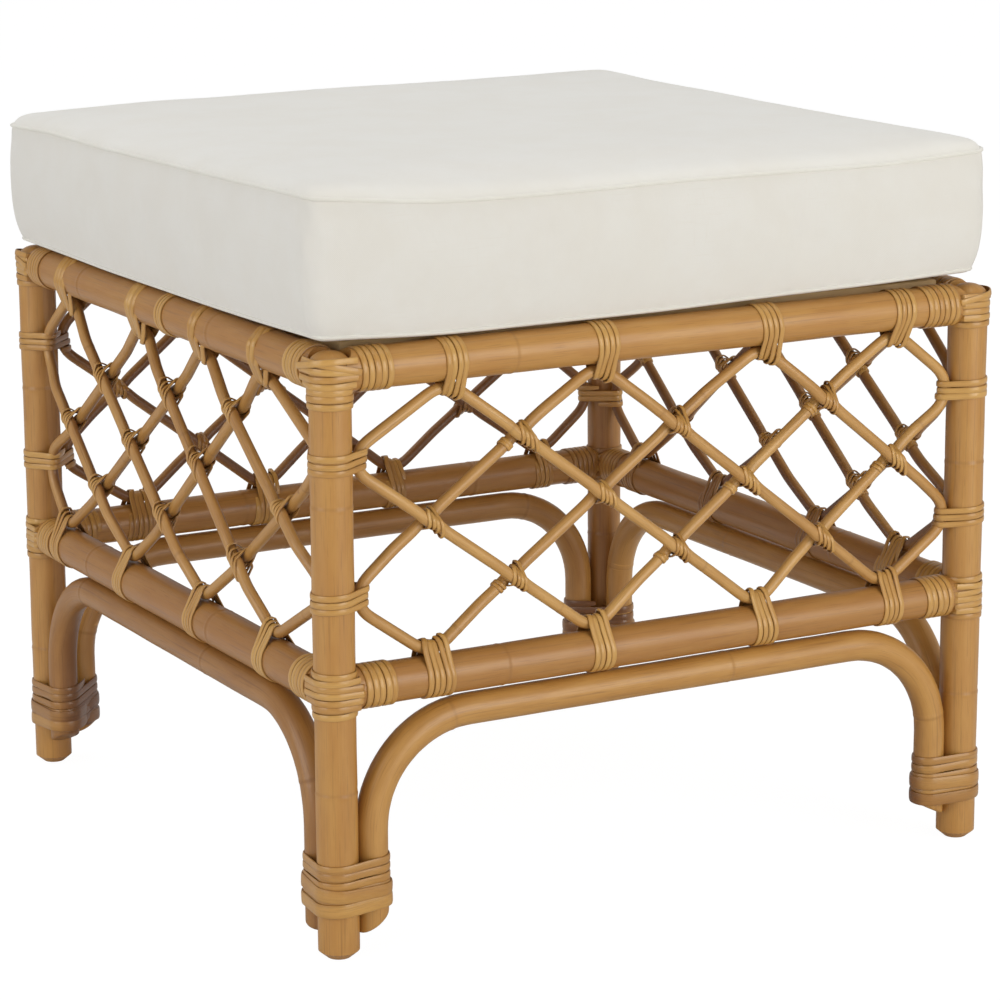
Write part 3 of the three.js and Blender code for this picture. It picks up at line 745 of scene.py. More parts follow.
def stick_colour_group() -> NodeTree:
    """Build the colour of a rattan stick from its grain, tone and marks, its low tones carrying
    painted shade.

    Returns:
        The node group.
    """
    graph, given, leave = shader_group(
        "rattan_colour",
        {"Float": "Streak Fleck Mottle Tone Mark Ring", "Color": "Light Middle Dark"},
        {"Color": "Color"})
    drift = graph.maths("MULTIPLY_ADD", given["Tone"], 0.5, 0.5, clamp=True)
    warm = graph.ranged(given["Mottle"], 0.3, 0.7)
    share = graph.maths("MULTIPLY_ADD", warm, 0.55, graph.maths("MULTIPLY", drift, 0.45))
    colour = graph.mixed(share, given["Middle"], given["Light"])
    for part, shade in (
        (graph.ranged(given["Streak"], 0.42, 0.75, 0.0, 0.55), "Middle"),
        (graph.ranged(given["Streak"], 0.5, 0.2, 0.0, 0.42), "Dark"),
        (graph.maths("MULTIPLY", given["Fleck"], 0.28), "Dark"),
        (graph.maths("MULTIPLY", given["Mark"], given["Ring"]), "Dark"),
    ):
        colour = graph.mixed(part, colour, given[shade])
    # Tones below -0.8 darken and redden the colour. Such low tones carry painted shade: on faces
    # turned inwards, on the left, right and back pieces and on the foot wraps; a few are poles of a
    # darker brown.
    dim = graph.ranged(given["Tone"], -4.5, -0.8, 0.3, 1.0, "LINEAR")
    deep = graph.maths("POWER", dim, 1.28)
    brown_and_shade = graph.node("CombineColor", {0: dim, 1: deep, 2: deep}).outputs[0]
    graph.fill(leave, {"Color": graph.mixed(1.0, colour, brown_and_shade, "MULTIPLY")})
    return graph.tree


def weave_group() -> NodeTree:
    """Build a plain weave that lies on faces of any direction, with uneven threads.

    Returns:
        The node group.
    """
    graph, given, leave = shader_group(
        "plain_weave", {"Vector": "Position Normal", "Float": "Pitch"},
        {"Float": "Thread Slub Mottle"})
    wave = graph.maths("DIVIDE", math.pi, given["Pitch"])
    place = graph.node("SeparateXYZ", {0: given["Position"]}).outputs
    way = graph.node("SeparateXYZ", {0: given["Normal"]}).outputs
    rows, slubs = [], []
    for axis in range(3):
        rows.append(graph.maths("SINE", graph.maths("MULTIPLY", place[axis], wave)))
        scale = tuple(40.0 if other == axis else 1500.0 for other in range(3))
        slubs.append(graph.noise(graph.multiplied(given["Position"], scale), 1.0, 1.0, 0.5))
    thread, slub = 0.0, 0.0
    for axis in range(3):
        first, second = [other for other in range(3) if other != axis]
        weight = graph.maths("POWER", graph.maths("ABSOLUTE", way[axis]), 2.0)
        cell = graph.maths("MULTIPLY", rows[first], rows[second])
        thread = graph.maths("MULTIPLY_ADD", cell, weight, thread)
        line = graph.maths("MAXIMUM", slubs[first], slubs[second])
        slub = graph.maths("MULTIPLY_ADD", line, weight, slub)
    mottle = graph.noise(given["Position"], 22.0, 3.0, 0.6)
    graph.fill(leave, {"Thread": thread, "Slub": slub, "Mottle": mottle})
    return graph.tree


@dataclass(frozen=True)
class RattanFinish:
    """A varnished rattan finish, told by its colours and the scale of its grain."""

    name: str
    light: tuple[int, int, int]
    middle: tuple[int, int, int]
    dark: tuple[int, int, int]
    across: float = 620.0
    along: float = 14.0
    ring: float = 0.22
    roughness: tuple[float, float] = (0.38, 0.5)
    bump: float = 0.25
    bump_depth: float = 0.0003
    coat: float = 0.32
    coat_roughness: float = 0.24

    def build(self, grain: NodeTree, colour: NodeTree) -> Material:
        """Build the material.

        Args:
            grain: The shared grain group.
            colour: The shared colour group.

        Returns:
            The material.
        """
        made, graph = new_material(self.name)
        fibre, tone, mark = (graph.node("Attribute", attribute_name=key).outputs
                             for key in (FIBRE, TONE, MARK))
        pattern = graph.node("Group", {
            "Fibre": fibre["Vector"], "Across": self.across, "Along": self.along,
        }, node_tree=grain).outputs
        tint = graph.node("Group", {
            "Streak": pattern["Streak"], "Fleck": pattern["Fleck"], "Mottle": pattern["Mottle"],
            "Tone": tone["Fac"], "Mark": mark["Fac"], "Ring": self.ring,
            "Light": linear(*self.light), "Middle": linear(*self.middle),
            "Dark": linear(*self.dark)}, node_tree=colour)
        graph.cover(graph.node("BsdfPrincipled", {
            "Base Color": tint.outputs["Color"],
            "Normal": graph.bumped(self.bump, self.bump_depth, pattern["Height"]),
            "Roughness": graph.ranged(pattern["Streak"], 0.25, 0.75, *self.roughness),
            "Coat Weight": self.coat, "Coat Roughness": self.coat_roughness}))
        return made


@dataclass(frozen=True)
class ClothFinish:
    """A woven cotton finish, told by its colours and its threads."""

    name: str
    light: tuple[int, int, int]
    dark: tuple[int, int, int]
    pitch: float = 0.00065
    bump: float = 0.35
    bump_depth: float = 0.0002
    roughness: float = 0.92
    gloss: float = 0.3
    sheen: float = 0.3
    sheen_roughness: float = 0.6

    def build(self, weave: NodeTree) -> Material:
        """Build the material.

        Args:
            weave: The shared weave group.

        Returns:
            The material.
        """
        made, graph = new_material(self.name)
        cloth = graph.node("Group", {
            "Position": graph.node("TexCoord").outputs["Object"],
            "Normal": graph.node("NewGeometry").outputs["Normal"], "Pitch": self.pitch,
        }, node_tree=weave).outputs
        worn = graph.ranged(cloth["Mottle"], 0.3, 0.7, 0.0, 0.5)
        threads = graph.ranged(cloth["Slub"], 0.55, 0.8, 0.0, 0.5)
        colour = graph.mixed(graph.maths("MAXIMUM", worn, threads), linear(*self.light),
                             linear(*self.dark))
        height = graph.maths("MULTIPLY_ADD", cloth["Slub"], 0.9, cloth["Thread"])
        graph.cover(graph.node("BsdfPrincipled", {
            "Base Color": colour, "Roughness": self.roughness,
            "Normal": graph.bumped(self.bump, self.bump_depth, height),
            "Sheen Weight": self.sheen, "Sheen Roughness": self.sheen_roughness,
            "Specular IOR Level": self.gloss}))
        return made


@dataclass(frozen=True)
class FoamFinish:
    """An open-cell foam finish."""

    name: str
    light: tuple[int, int, int]
    dark: tuple[int, int, int]
    cells: float = 900.0
    bump: float = 0.5
    bump_depth: float = 0.0006
    roughness: float = 0.95

    def build(self) -> Material:
        """Build the material.

        Returns:
            The material.
        """
        made, graph = new_material(self.name)
        place = graph.node("TexCoord").outputs["Object"]
        cells = graph.node("TexVoronoi", {"Vector": place, "Scale": self.cells}).outputs["Distance"]
        colour = graph.mixed(graph.ranged(cells, 0.1, 0.7), linear(*self.dark), linear(*self.light))
        graph.cover(graph.node("BsdfPrincipled", {
            "Base Color": colour, "Roughness": self.roughness,
            "Normal": graph.bumped(self.bump, self.bump_depth, cells)}))
        return made


@dataclass(frozen=True)
class Palette:
    """All the finishes of the ottoman, each in a field that is named for its record slot."""

    pole: RattanFinish = RattanFinish("honey_pole", (200, 150, 78), (184, 130, 62), (120, 74, 32))
    brace: RattanFinish = RattanFinish("honey_brace", (210, 160, 86), (188, 136, 66), (120, 74, 32))
    cane: RattanFinish = RattanFinish("lattice_cane", (212, 166, 96), (190, 140, 74), (118, 72, 32),
                                      across=900.0, along=18.0)
    peel: RattanFinish = RattanFinish("wound_peel", (214, 168, 92), (192, 140, 68), (108, 64, 26),
                                      across=1500.0, along=22.0, ring=0.5, roughness=(0.28, 0.42),
                                      coat=0.35)
    deck: RattanFinish = RattanFinish("deck_board", (212, 182, 134), (196, 162, 112),
                                      (150, 112, 68), across=420.0, along=8.0,
                                      roughness=(0.6, 0.75), coat=0.0)
    cover: ClothFinish = ClothFinish("cotton_cover", (230, 228, 222), (226, 222, 213), bump=0.18)
    piping: ClothFinish = ClothFinish("cotton_piping", (231, 229, 221), (226, 222, 212), bump=0.18)
    zip: ClothFinish = ClothFinish("zip_tape", (214, 208, 194), (202, 195, 180), pitch=0.0009)
    foam: FoamFinish = FoamFinish("seat_foam", (238, 228, 188), (214, 200, 152))

    def build(self) -> dict[Slot, Material]:
        """Build every finish with the groups that its kind shares.

        Returns:
            The materials by record slot.
        """
        groups = {RattanFinish: (rattan_grain_group(), stick_colour_group()),
                  ClothFinish: (weave_group(),), FoamFinish: ()}
        finishes = {slot: getattr(self, slot.label) for slot in Slot}
        return {slot: finish.build(*groups[type(finish)]) for slot, finish in finishes.items()}


@dataclass
class Dresser:
    """Gives each new piece its material, its record slot, its body and the nodes it stands for."""

    materials: dict[Slot, Material]

    def dress(self, piece: Object, slot: Slot, body: Body, *nodes: str) -> None:
        """Finish a piece.

        Args:
            piece: The piece, in place.
            slot: Its record slot.
            body: The CAD body that it rides on.
            nodes: The CAD nodes that it stands for.
        """
        piece.data.materials.clear()
        piece.data.materials.append(self.materials[slot])
        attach(piece, body.label)
        if nodes:
            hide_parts(*nodes)
        LOG.info("piece %s: slot %s, body %s, %d points", piece.name, slot.label, body.label,
                 len(piece.data.vertices))


# The rattan frame

BySide = tuple[tuple[float, ...], ...]
Spot = tuple[int, int]
Strand = tuple[Array, Array, bool]


@dataclass
class PoleFrame:
    """The legs, the rails and the arched braces, and the places that the other pieces follow."""

    dresser: Dresser
    leg_spacing: float = 0.502
    leg_radius: float = 0.0139
    leg_top: float = 0.408
    crown_height: float = 0.0095
    foot_chamfer: float = 0.006
    foot_chamfer_height: float = 0.005
    rail_radius: float = 0.014
    rail_end: float = 0.0175
    rail_body_end: float = 0.018
    top_rail_height: float = 0.394
    lower_rail_height: float = 0.183
    arch_radius: float = 0.011
    arch_bend_radius: float = 0.072
    arch_top: float = 0.1561
    arch_end: float = 0.019
    arch_end_rise: float = 0.011
    arch_end_reach: float = 0.030
    arch_rounding: float = 0.0025
    longer_ends: dict[tuple[Side, int], tuple[float, float]] = field(default_factory=lambda: {
        (Side.FRONT, -1): (0.0065, 0.014), (Side.LEFT, 1): (0.0065, 0.003)})
    fit_gap: float = 0.0003
    ring_step: float = 0.005
    pole_sides: int = 26
    arch_sides: int = 22
    surfaces: dict[str, Array] = field(default_factory=dict)
    # Tones of single pieces, below -1 darker and browner. The low tones of the left, right and back
    # pieces are painted shade; the legs and the front pieces differ in tone pole by pole.
    tones: dict[str, float] = field(default_factory=lambda: {
        "leg_front_left": -0.5, "leg_front_right": 0.3, "leg_back_left": -0.2,
        "leg_back_right": -0.5, "top_rail_front": -0.5, "lower_rail_front": -1.5,
        "top_rail_left": -1.5, "lower_rail_left": -2.0, "arch_front": -0.9, "arch_left": -2.5,
        "lattice_cane_left_a": -1.2, "lattice_cane_left_b": -1.4, "lattice_cane_right_a": -1.6,
        "lattice_cane_right_b": -1.4, "lattice_cane_back_a": -1.5, "lattice_cane_back_b": -1.6})

    @property
    def half(self) -> float:
        """Half the spacing of the legs."""
        return self.leg_spacing / 2

    def rail_height(self, level: Level) -> float:
        """Return the height of the rails of a level."""
        return self.top_rail_height if level is Level.TOP else self.lower_rail_height

    def to_side(self, points: Array, side: Side) -> Array:
        """Place points of a side's own space, where -Y is outward from the rails, on the side."""
        return quarter_turned(points - BACKWARD * self.half, side.value)

    def from_side(self, points: Array, side: Side) -> Array:
        """Return points of the row frame in a side's own space."""
        return quarter_turned(points, -side.value) + BACKWARD * self.half

    def to_corner(self, points: Array, corner: Corner) -> Array:
        """Place points of a corner's own space, where the rails run along +X and +Y, there."""
        return quarter_turned(points - INWARD * self.half, corner.value)

    def from_corner(self, points: Array, corner: Corner) -> Array:
        """Return points of the row frame in a corner's own space."""
        return quarter_turned(points, -corner.value) + INWARD * self.half

    def add_stick(self, stick: Stick, name: str, slot: Slot, prefix: str,
                  mover: Callable[[Array], Array],
                  browning: float = INWARD_SHADE) -> None:
        """Sweep a stick, bring it to its place, remember its surface and dress it.

        Args:
            stick: The stick in its own space.
            name: The CAD node's name.
            slot: Its record slot.
            prefix: What stands before the node's name in the piece's.
            mover: Brings its points to their place.
            browning: How much darker its faces turned inwards are painted, as painted shade.
        """
        stick.tone = self.tones.get(name)
        skin = Skin()
        stick.build(skin)
        skin.move(mover)
        self.surfaces[name] = skin.place()
        piece = skin.to_object(prefix + name, browning=browning)
        self.dresser.dress(piece, slot, Body.FRAME, name)

    def build_leg(self, corner: Corner) -> None:
        """Build one leg: chamfered foot, straight pole, domed crown.

        Args:
            corner: Where it stands.
        """
        chamfer = tuple((self.foot_chamfer_height * share, self.foot_chamfer * (1 - share))
                        for share in (0.0, 0.5, 1.0))
        line = resampled(np.array([[0.0, 0.0, 0.0], [0.0, 0.0, self.leg_top]]), self.ring_step)
        draw = random.Random(40 + corner.value)
        nodes = (draw.uniform(0.09, 0.14), draw.uniform(0.27, 0.31))
        stick = Stick(line, self.leg_radius, self.pole_sides, 100 + corner.value, nodes, chamfer,
                      rounded_end(self.crown_height, self.leg_radius, 0.06, 9),
                      first=np.array([1.0, 0.3, 0.0]))
        self.add_stick(stick, f"leg_{corner.label}", Slot.POLE, "pole_",
                       lambda points: self.to_corner(points, corner))

    def coped(self, points: Array) -> Array:
        """Cut a rail's ends to its legs, and mitre them against its neighbours.

        Args:
            points: The rail's points in its side's own space.

        Returns:
            The points, with those of the ends moved.
        """
        ends = np.abs(points[:, 0]) > self.half - self.rail_end
        cope = np.sqrt(np.maximum(0.0, (self.leg_radius + self.fit_gap) ** 2 - points[:, 1] ** 2))
        mitre = points[:, 1] + self.fit_gap
        limit = self.half - np.maximum(np.maximum(cope, mitre), self.fit_gap)
        points[ends, 0] = (np.sign(points[:, 0]) * limit)[ends]
        return points

    def build_rail(self, side: Side, level: Level) -> None:
        """Build one rail.

        Args:
            side: The side that it runs along.
            level: Its level.
        """
        height = self.rail_height(level)
        reach = self.half - self.rail_body_end
        body = resampled(np.array([[-reach, 0.0, height], [reach, 0.0, height]]), self.ring_step)
        line = np.concatenate([[[-self.half, 0.0, height]], body, [[self.half, 0.0, height]]])
        seed = 2 * side.value + level.value
        draw = random.Random(60 + seed)
        nodes = tuple(place + draw.uniform(-0.02, 0.02) for place in (0.13, 0.33))
        stick = Stick(line, self.rail_radius, self.pole_sides, 120 + seed, nodes,
                      first=np.array([0.0, -1.0, 0.2]))
        self.add_stick(stick, f"{level.label}_rail_{side.label}", Slot.POLE, "pole_",
                       lambda points: self.to_side(self.coped(points), side))

    @property
    def arch_foot(self) -> float:
        """How far the middle of an arch's foot is from the middle of its side."""
        return self.half - self.leg_radius - self.fit_gap - self.arch_radius

    def arch_line(self) -> Array:
        """Draw the middle line of an arch.

        Returns:
            Its points in its side's own space.
        """
        bend = self.arch_bend_radius
        left = [[-self.arch_foot, 0.0, self.arch_end]]
        left += [[-self.arch_foot + bend * (1 - math.cos(turn)), 0.0,
                  self.arch_top - bend + bend * math.sin(turn)]
                 for turn in np.linspace(0, math.pi / 2, 15)]
        right = [[-x, 0.0, z] for x, _, z in left[::-1]]
        return resampled(np.array(left + right), self.ring_step)

    def slanted(self, points: Array, side: Side) -> Array:
        """Cut an arch's ends on a slant, and lengthen those that are longer.

        Args:
            points: The arch's points in its side's own space.
            side: The side that it stands on.

        Returns:
            The points, with those of the ends moved.
        """
        outside = self.arch_foot + self.arch_radius
        inward = np.clip((outside - np.abs(points[:, 0])) / (2 * self.arch_radius), 0, 1)
        fade = np.clip(1 - (points[:, 2] - self.arch_end) / self.arch_end_reach, 0, 1)
        for end in (-1, 1):
            longer, rise = self.longer_ends.get((side, end), (0.0, self.arch_end_rise))
            here = np.sign(points[:, 0]) == end
            points[here, 2] += ((rise * inward - longer) * fade)[here]
        return points

    def build_arch(self, side: Side) -> None:
        """Build one arched brace.

        Args:
            side: The side that it stands on.
        """
        draw = random.Random(80 + side.value)
        nodes = tuple(place + draw.uniform(-0.015, 0.015) for place in (0.17, 0.38, 0.58))
        trim = rounded_end(self.arch_rounding, self.arch_rounding)
        stick = Stick(self.arch_line(), self.arch_radius, self.arch_sides, 140 + side.value, nodes,
                      trim, trim, first=BACKWARD)
        self.add_stick(stick, f"arch_{side.label}", Slot.BRACE, "brace_",
                       lambda points: self.to_side(self.slanted(points, side), side))

    def build(self) -> None:
        """Build all legs, rails and arches."""
        for corner in Corner:
            self.build_leg(corner)
        for side in Side:
            self.build_rail(side, Level.TOP)
            self.build_rail(side, Level.LOWER)
            self.build_arch(side)


@dataclass
class Lattice:
    """The canes of the four sides, bent at the rails and legs and laid in two layers."""

    frame: PoleFrame
    cane_radius: float = 0.0040
    columns: int = 4
    rows: int = 4
    aim_share: float = 0.5
    layer_share: float = 0.62
    cane_sides: int = 16
    cane_step: float = 0.0036
    knot_pinch: float = 0.6
    knot_reach: float = 0.0065
    rail_margin: float = 0.012
    leg_margin: float = 0.03
    end_margin: float = 0.02
    # How much darker the canes' faces turned inwards are painted: painted shade for the dark
    # inside.
    browning: float = 3.0
    lower_shares: BySide = (
        (0.02, 0.04, 0.11, -0.02), (0.05, -0.08, 0.06, 0.04),
        (-0.05, 0.08, 0.03, -0.08), (-0.15, -0.16, -0.13, -0.19))
    top_shares: BySide = (
        (0.13, 0.065, 0.125, 0.03), (-0.06, 0.1, 0.04, -0.1),
        (0.08, -0.06, 0.1, 0.04), (0.01, 0.1, -0.03, -0.25))

    @property
    def aim(self) -> float:
        """How far into a leg a strand aims."""
        return self.frame.leg_radius * self.aim_share

    @property
    def layer(self) -> float:
        """How far the middle of a cane in either layer is from the plane between the layers."""
        return self.cane_radius + self.frame.fit_gap / 2

    @property
    def low(self) -> float:
        """The height of the lower rails' upper edge."""
        return self.frame.lower_rail_height + self.frame.rail_radius

    @property
    def high(self) -> float:
        """The height of the top rails' lower edge."""
        return self.frame.top_rail_height - self.frame.rail_radius

    def place(self, column: float, row: float) -> Array:
        """Find the place of a grid point.

        Args:
            column: How many columns it lies from the left.
            row: How many rows it lies below the top rail.

        Returns:
            Its place along the side and up.
        """
        half = self.frame.half - self.frame.leg_radius + self.aim
        return np.array([-half + column * 2 * half / self.columns,
                         self.high - row * (self.high - self.low) / self.rows])

    def runs(self) -> list[list[Spot]]:
        """Follow each cane from bend to bend until it is back at its start.

        Returns:
            The bends of each cane, in half columns and rows, in order.
        """
        width = 2 * self.columns
        visited: set[Spot] = set()
        found = []
        for start in range(1, width, 2):
            run = []
            x, y, across, down = start, 0, 1, 1
            while (x, y) not in visited:
                visited.add((x, y))
                run.append((x, y))
                room_x = width - x if across > 0 else x
                room_y = self.rows - y if down > 0 else y
                length = min(room_x, room_y)
                x, y = x + across * length, y + down * length
                across = -across if room_x == length else across
                down = -down if room_y == length else down
            if run:
                found.append(run)
        return found

    def shares(self, side: Side, level: Level) -> tuple[float, ...]:
        """Return how far each bend at a rail strays from its even place, in columns."""
        return (self.top_shares if level is Level.TOP else self.lower_shares)[side.value]

    def bend(self, spot: Spot, side: Side) -> tuple[float, float]:
        """Find where a bend really lies.

        Args:
            spot: The bend.
            side: The side.

        Returns:
            Its column and its row.
        """
        x, y = spot
        level = {0: Level.TOP, self.rows: Level.LOWER}.get(y)
        return x / 2 + (self.shares(side, level)[(x - 1) // 2] if level else 0.0), y

    def bend_arc(self, before: Array, corner: Array, after: Array,
                 at_rail: bool) -> Array:
        """Draw the arc with which a cane rounds a bend and just touches its rail or leg.

        Args:
            before: The bend before.
            corner: The bend.
            after: The bend after.
            at_rail: Whether it is at a rail, not at a leg.

        Returns:
            The arc's points, along the side and up.
        """
        arriving, leaving = unit(corner - before), unit(after - corner)
        outward = unit(arriving - leaving)
        turn = math.acos(float(np.clip(np.dot(arriving, leaving), -1, 1)))
        stretch = 1 / math.cos(turn / 2)
        reach = self.frame.fit_gap + self.cane_radius + (0.0 if at_rail else self.aim)
        lean = abs(outward[1]) if at_rail else abs(outward[0])
        radius = reach / (lean * stretch - 1)
        centre = corner - outward * stretch * radius
        onward = unit(arriving + leaving)
        return np.array([centre + radius * (math.cos(swing) * outward + math.sin(swing) * onward)
                         for swing in np.linspace(-turn / 2, turn / 2, 9)])

    def strands(self, side: Side) -> list[Strand]:
        """List the strands of a side, which run from bend to bend.

        Args:
            side: The side.

        Returns:
            Each one's two ends, along the side and up, and whether it falls to the right.
        """
        found = []
        for run in self.runs():
            for spot, target in zip(run, run[1:] + run[:1]):
                falls = (target[0] - spot[0]) * (target[1] - spot[1]) > 0
                found.append((self.place(*self.bend(spot, side)),
                              self.place(*self.bend(target, side)), falls))
        return found

    def crossings(self, side: Side) -> list[tuple[Array, Array]]:
        """Find where the canes of a side cross.

        Args:
            side: The side.

        Returns:
            Each place, with the direction of the rising cane there.
        """
        found = []
        low, high = self.low + self.rail_margin, self.high - self.rail_margin
        strands = self.strands(side)
        falling = [(a, b) for a, b, falls in strands if falls]
        rising = [(c, d) for c, d, falls in strands if not falls]
        for a, b in falling:
            for c, d in rising:
                fall, rise = b - a, d - c
                ends = np.linalg.solve(np.stack([fall, -rise], axis=1), c - a)
                spot = a + fall * ends[0]
                inside = np.all(np.abs(ends - 0.5) < 0.5 - self.end_margin)
                clear = abs(spot[0]) < self.frame.half - self.leg_margin
                if inside and clear and low < spot[1] < high:
                    found.append((spot, unit(rise) * np.sign(rise[0])))
        return sorted(found, key=lambda item: (round(item[0][1], 2), item[0][0]))

    def cane_line(self, run: list[Spot], side: Side) -> Array:
        """Draw the middle line of a cane.

        Args:
            run: Its bends.
            side: The side.

        Returns:
            Its points in its side's own space.
        """
        stations: list[list[float]] = []
        spots = [self.bend(spot, side) for spot in run]
        for index, spot in enumerate(run):
            follower = (index + 1) % len(run)
            before, corner, after = (self.place(*spots[place])
                                     for place in (index - 1, index, follower))
            arc = self.bend_arc(before, corner, after, spot[1] in (0, self.rows))
            stations += [[x, 0.0, z] for x, z in arc]
            target = run[follower]
            drop = abs(target[1] - spot[1])
            if drop < 2:
                continue
            falls = (target[0] - spot[0]) * (target[1] - spot[1]) > 0
            depth = -self.layer if falls else self.layer
            start, end = np.array(spots[index]), np.array(spots[follower])
            for share in (self.layer_share / drop, 1 - self.layer_share / drop):
                x, z = self.place(*(start + (end - start) * share))
                stations.append([x, depth, z])
        middle = 4
        ring = np.array(stations[middle:] + stations[:middle + 1])
        line = eased(resampled(ring, 0.002), 5)
        for spot, _ in self.crossings(side):
            gap = line[:, [0, 2]] - spot
            near = bell(np.linalg.norm(gap, axis=1), self.knot_reach)
            line[:, 2] -= self.knot_pinch * near * gap[:, 1]
        trimmed = line.copy()
        trimmed[0] += unit(line[1] - line[0]) * self.frame.fit_gap
        trimmed[-1] += unit(line[-2] - line[-1]) * self.frame.fit_gap
        return trimmed

    def build_cane(self, run: list[Spot], side: Side, index: int) -> None:
        """Build one cane.

        Args:
            run: Its bends.
            side: The side.
            index: Which cane of the side it is.
        """
        line = resampled(self.cane_line(run, side), self.cane_step)
        length = distances(line)[-1]
        seed = 2 * side.value + index
        draw = random.Random(200 + seed)
        nodes, place = [], draw.uniform(0.05, 0.15)
        while place < length - 0.02:
            nodes.append(place)
            place += draw.uniform(0.17, 0.26)
        stick = Stick(line, self.cane_radius, self.cane_sides, 220 + seed, tuple(nodes),
                      uneven=0.02, first=BACKWARD)
        self.frame.add_stick(stick, f"lattice_cane_{side.label}_{'ab'[index]}", Slot.CANE, "bent_",
                             lambda points: self.frame.to_side(points, side), self.browning)

    def build(self) -> None:
        """Build the two canes of each side."""
        for side in Side:
            for index, run in enumerate(self.runs()):
                self.build_cane(run, side, index)


# The windings of peel

@dataclass
class Windings:
    """All the windings and bindings of peel on the frame."""

    frame: PoleFrame
    lattice: Lattice
    rail_peel: Peel = Peel(width=0.0039)
    cross_peel: Peel = Peel(width=0.0028, thickness=0.0010, gap=0.0001, reach=0.0003, samples=44)
    leg_peel: Peel = Peel(width=0.0044, samples=60)
    foot_peel: Peel = Peel(width=0.0056, thickness=0.0012, samples=84)
    over_peel: Peel = Peel(width=0.0092, thickness=0.0012, samples=84)
    bind_peel: Peel = Peel(width=0.0045, thickness=0.0010, samples=64)
    collar_peel: Peel = Peel(width=0.0044, thickness=0.0011, gap=0.00015, samples=54)
    slanted_rail: tuple[Side, Level] = (Side.LEFT, Level.TOP)
    slant: tuple[float, float, float] = (0.006, -18.0, 28.0)
    extra_place: float = 0.011
    cap_turns: tuple[tuple[float, int], ...] = (
        (-0.0210, 6), (-0.0135, 5), (-0.0150, 5), (-0.0136, 5))
    lower_turns: tuple[float, int] = (-0.0150, 7)
    long_collar: tuple[Corner, Side] = (Corner.FRONT_RIGHT, Side.FRONT)
    # How much darker the faces of the windings turned inwards are painted: painted shade.
    browning: float = 2.6
    # How much darker the foot wraps are painted all over: painted shade near the floor.
    foot_browning: float = 1.6
    hidden_rail_way: tuple[float, float, float] = (0.0, 1.0, 0.3)
    bend_reach: float = 0.031
    apex_half: float = 0.016
    piece_half: float = 0.02
    knot_reach: float = 0.0215
    arm_place: float = 0.0128
    arm_reach: float = 0.0058
    leg_reach: float = 0.0248
    foot_reach: float = 0.05
    foot_height: float = 0.08

    def side_cloud(self, side: Side, *names: str) -> Array:
        """Return the surface points of pieces in a side's own space."""
        points = np.concatenate([self.frame.surfaces[name] for name in names])
        return self.frame.from_side(points, side)

    def corner_cloud(self, corner: Corner, *names: str) -> Array:
        """Return the surface points of pieces in a corner's own space."""
        points = np.concatenate([self.frame.surfaces[name] for name in names])
        return self.frame.from_corner(points, corner)

    def cane_names(self, *sides: Side) -> list[str]:
        """Return the names of the canes of some sides."""
        return [f"lattice_cane_{side.label}_{end}" for side in sides for end in "ab"]

    def corner_sides(self, corner: Corner) -> tuple[Side, Side]:
        """Return the side that runs along +X from a corner, and the one along +Y."""
        return Side(corner.value), Side((corner.value + 3) % 4)

    def finish(self, skin: Skin, name: str, *nodes: str) -> None:
        """Dress a winding."""
        piece = skin.to_object(name, browning=self.browning)
        self.frame.dresser.dress(piece, Slot.PEEL, Body.FRAME, *nodes)

    def finish_at_side(self, skin: Skin, side: Side, name: str) -> None:
        """Place and dress the windings of a side, which stand for no node."""
        skin.move(lambda points: self.frame.to_side(points, side))
        self.finish(skin, f"{name}_{side.label}")

    def finish_at_corner(self, skin: Skin, corner: Corner, node: str) -> None:
        """Place and dress a winding of a corner, which stands for a node."""
        skin.move(lambda points: self.frame.to_corner(points, corner))
        self.finish(skin, "peel_" + node, node)

    def build_rail_lashings(self, side: Side, level: Level) -> None:
        """Tie the canes' bends to one rail.

        Args:
            side: The side.
            level: The rail's level.
        """
        height, peel, skin = self.frame.rail_height(level), self.rail_peel, Skin()
        rail = self.side_cloud(side, f"{level.label}_rail_{side.label}")
        canes = self.side_cloud(side, *self.cane_names(side))
        hidden, outer = np.array(self.hidden_rail_way), -UP if level is Level.TOP else UP
        slanted = (side, level) == self.slanted_rail
        shift, slope, yaw = self.slant if slanted else (0.0, 0.0, 0.0)
        draw = random.Random(300 + 2 * side.value + level.value)
        for index, share in enumerate(self.lattice.shares(side, level)):
            x = self.lattice.place(index + 0.5 + share, 0)[0]
            origin = np.array([x + shift, 0.0, height])
            near = np.linalg.norm((canes - origin)[:, [0, 2]], axis=1) < self.bend_reach
            apex = canes[near & (np.abs(canes[:, 0] - x) < self.apex_half)]
            bundle = np.concatenate([rail[np.abs(rail[:, 0] - x) < self.piece_half], apex])
            turns = draw.choice((4, 4, 5))
            lean = math.radians(slope + draw.uniform(-5, 5))
            axis = np.array([1.0, math.tan(math.radians(yaw)), math.tan(lean)])
            peel.wind(skin, bundle, origin, axis, -(turns - 1) * peel.step / 2, turns, draw,
                      hidden, pinch=outer)
        if slanted:
            bundle = rail[np.abs(rail[:, 0] - self.extra_place) < self.piece_half]
            peel.wind(skin, bundle, np.array([self.extra_place, 0.0, height]),
                      np.array([1.0, 0.0, 0.06]), -0.006, 3, draw, hidden)
        self.finish_at_side(skin, side, f"rail_lashings_{level.label}")

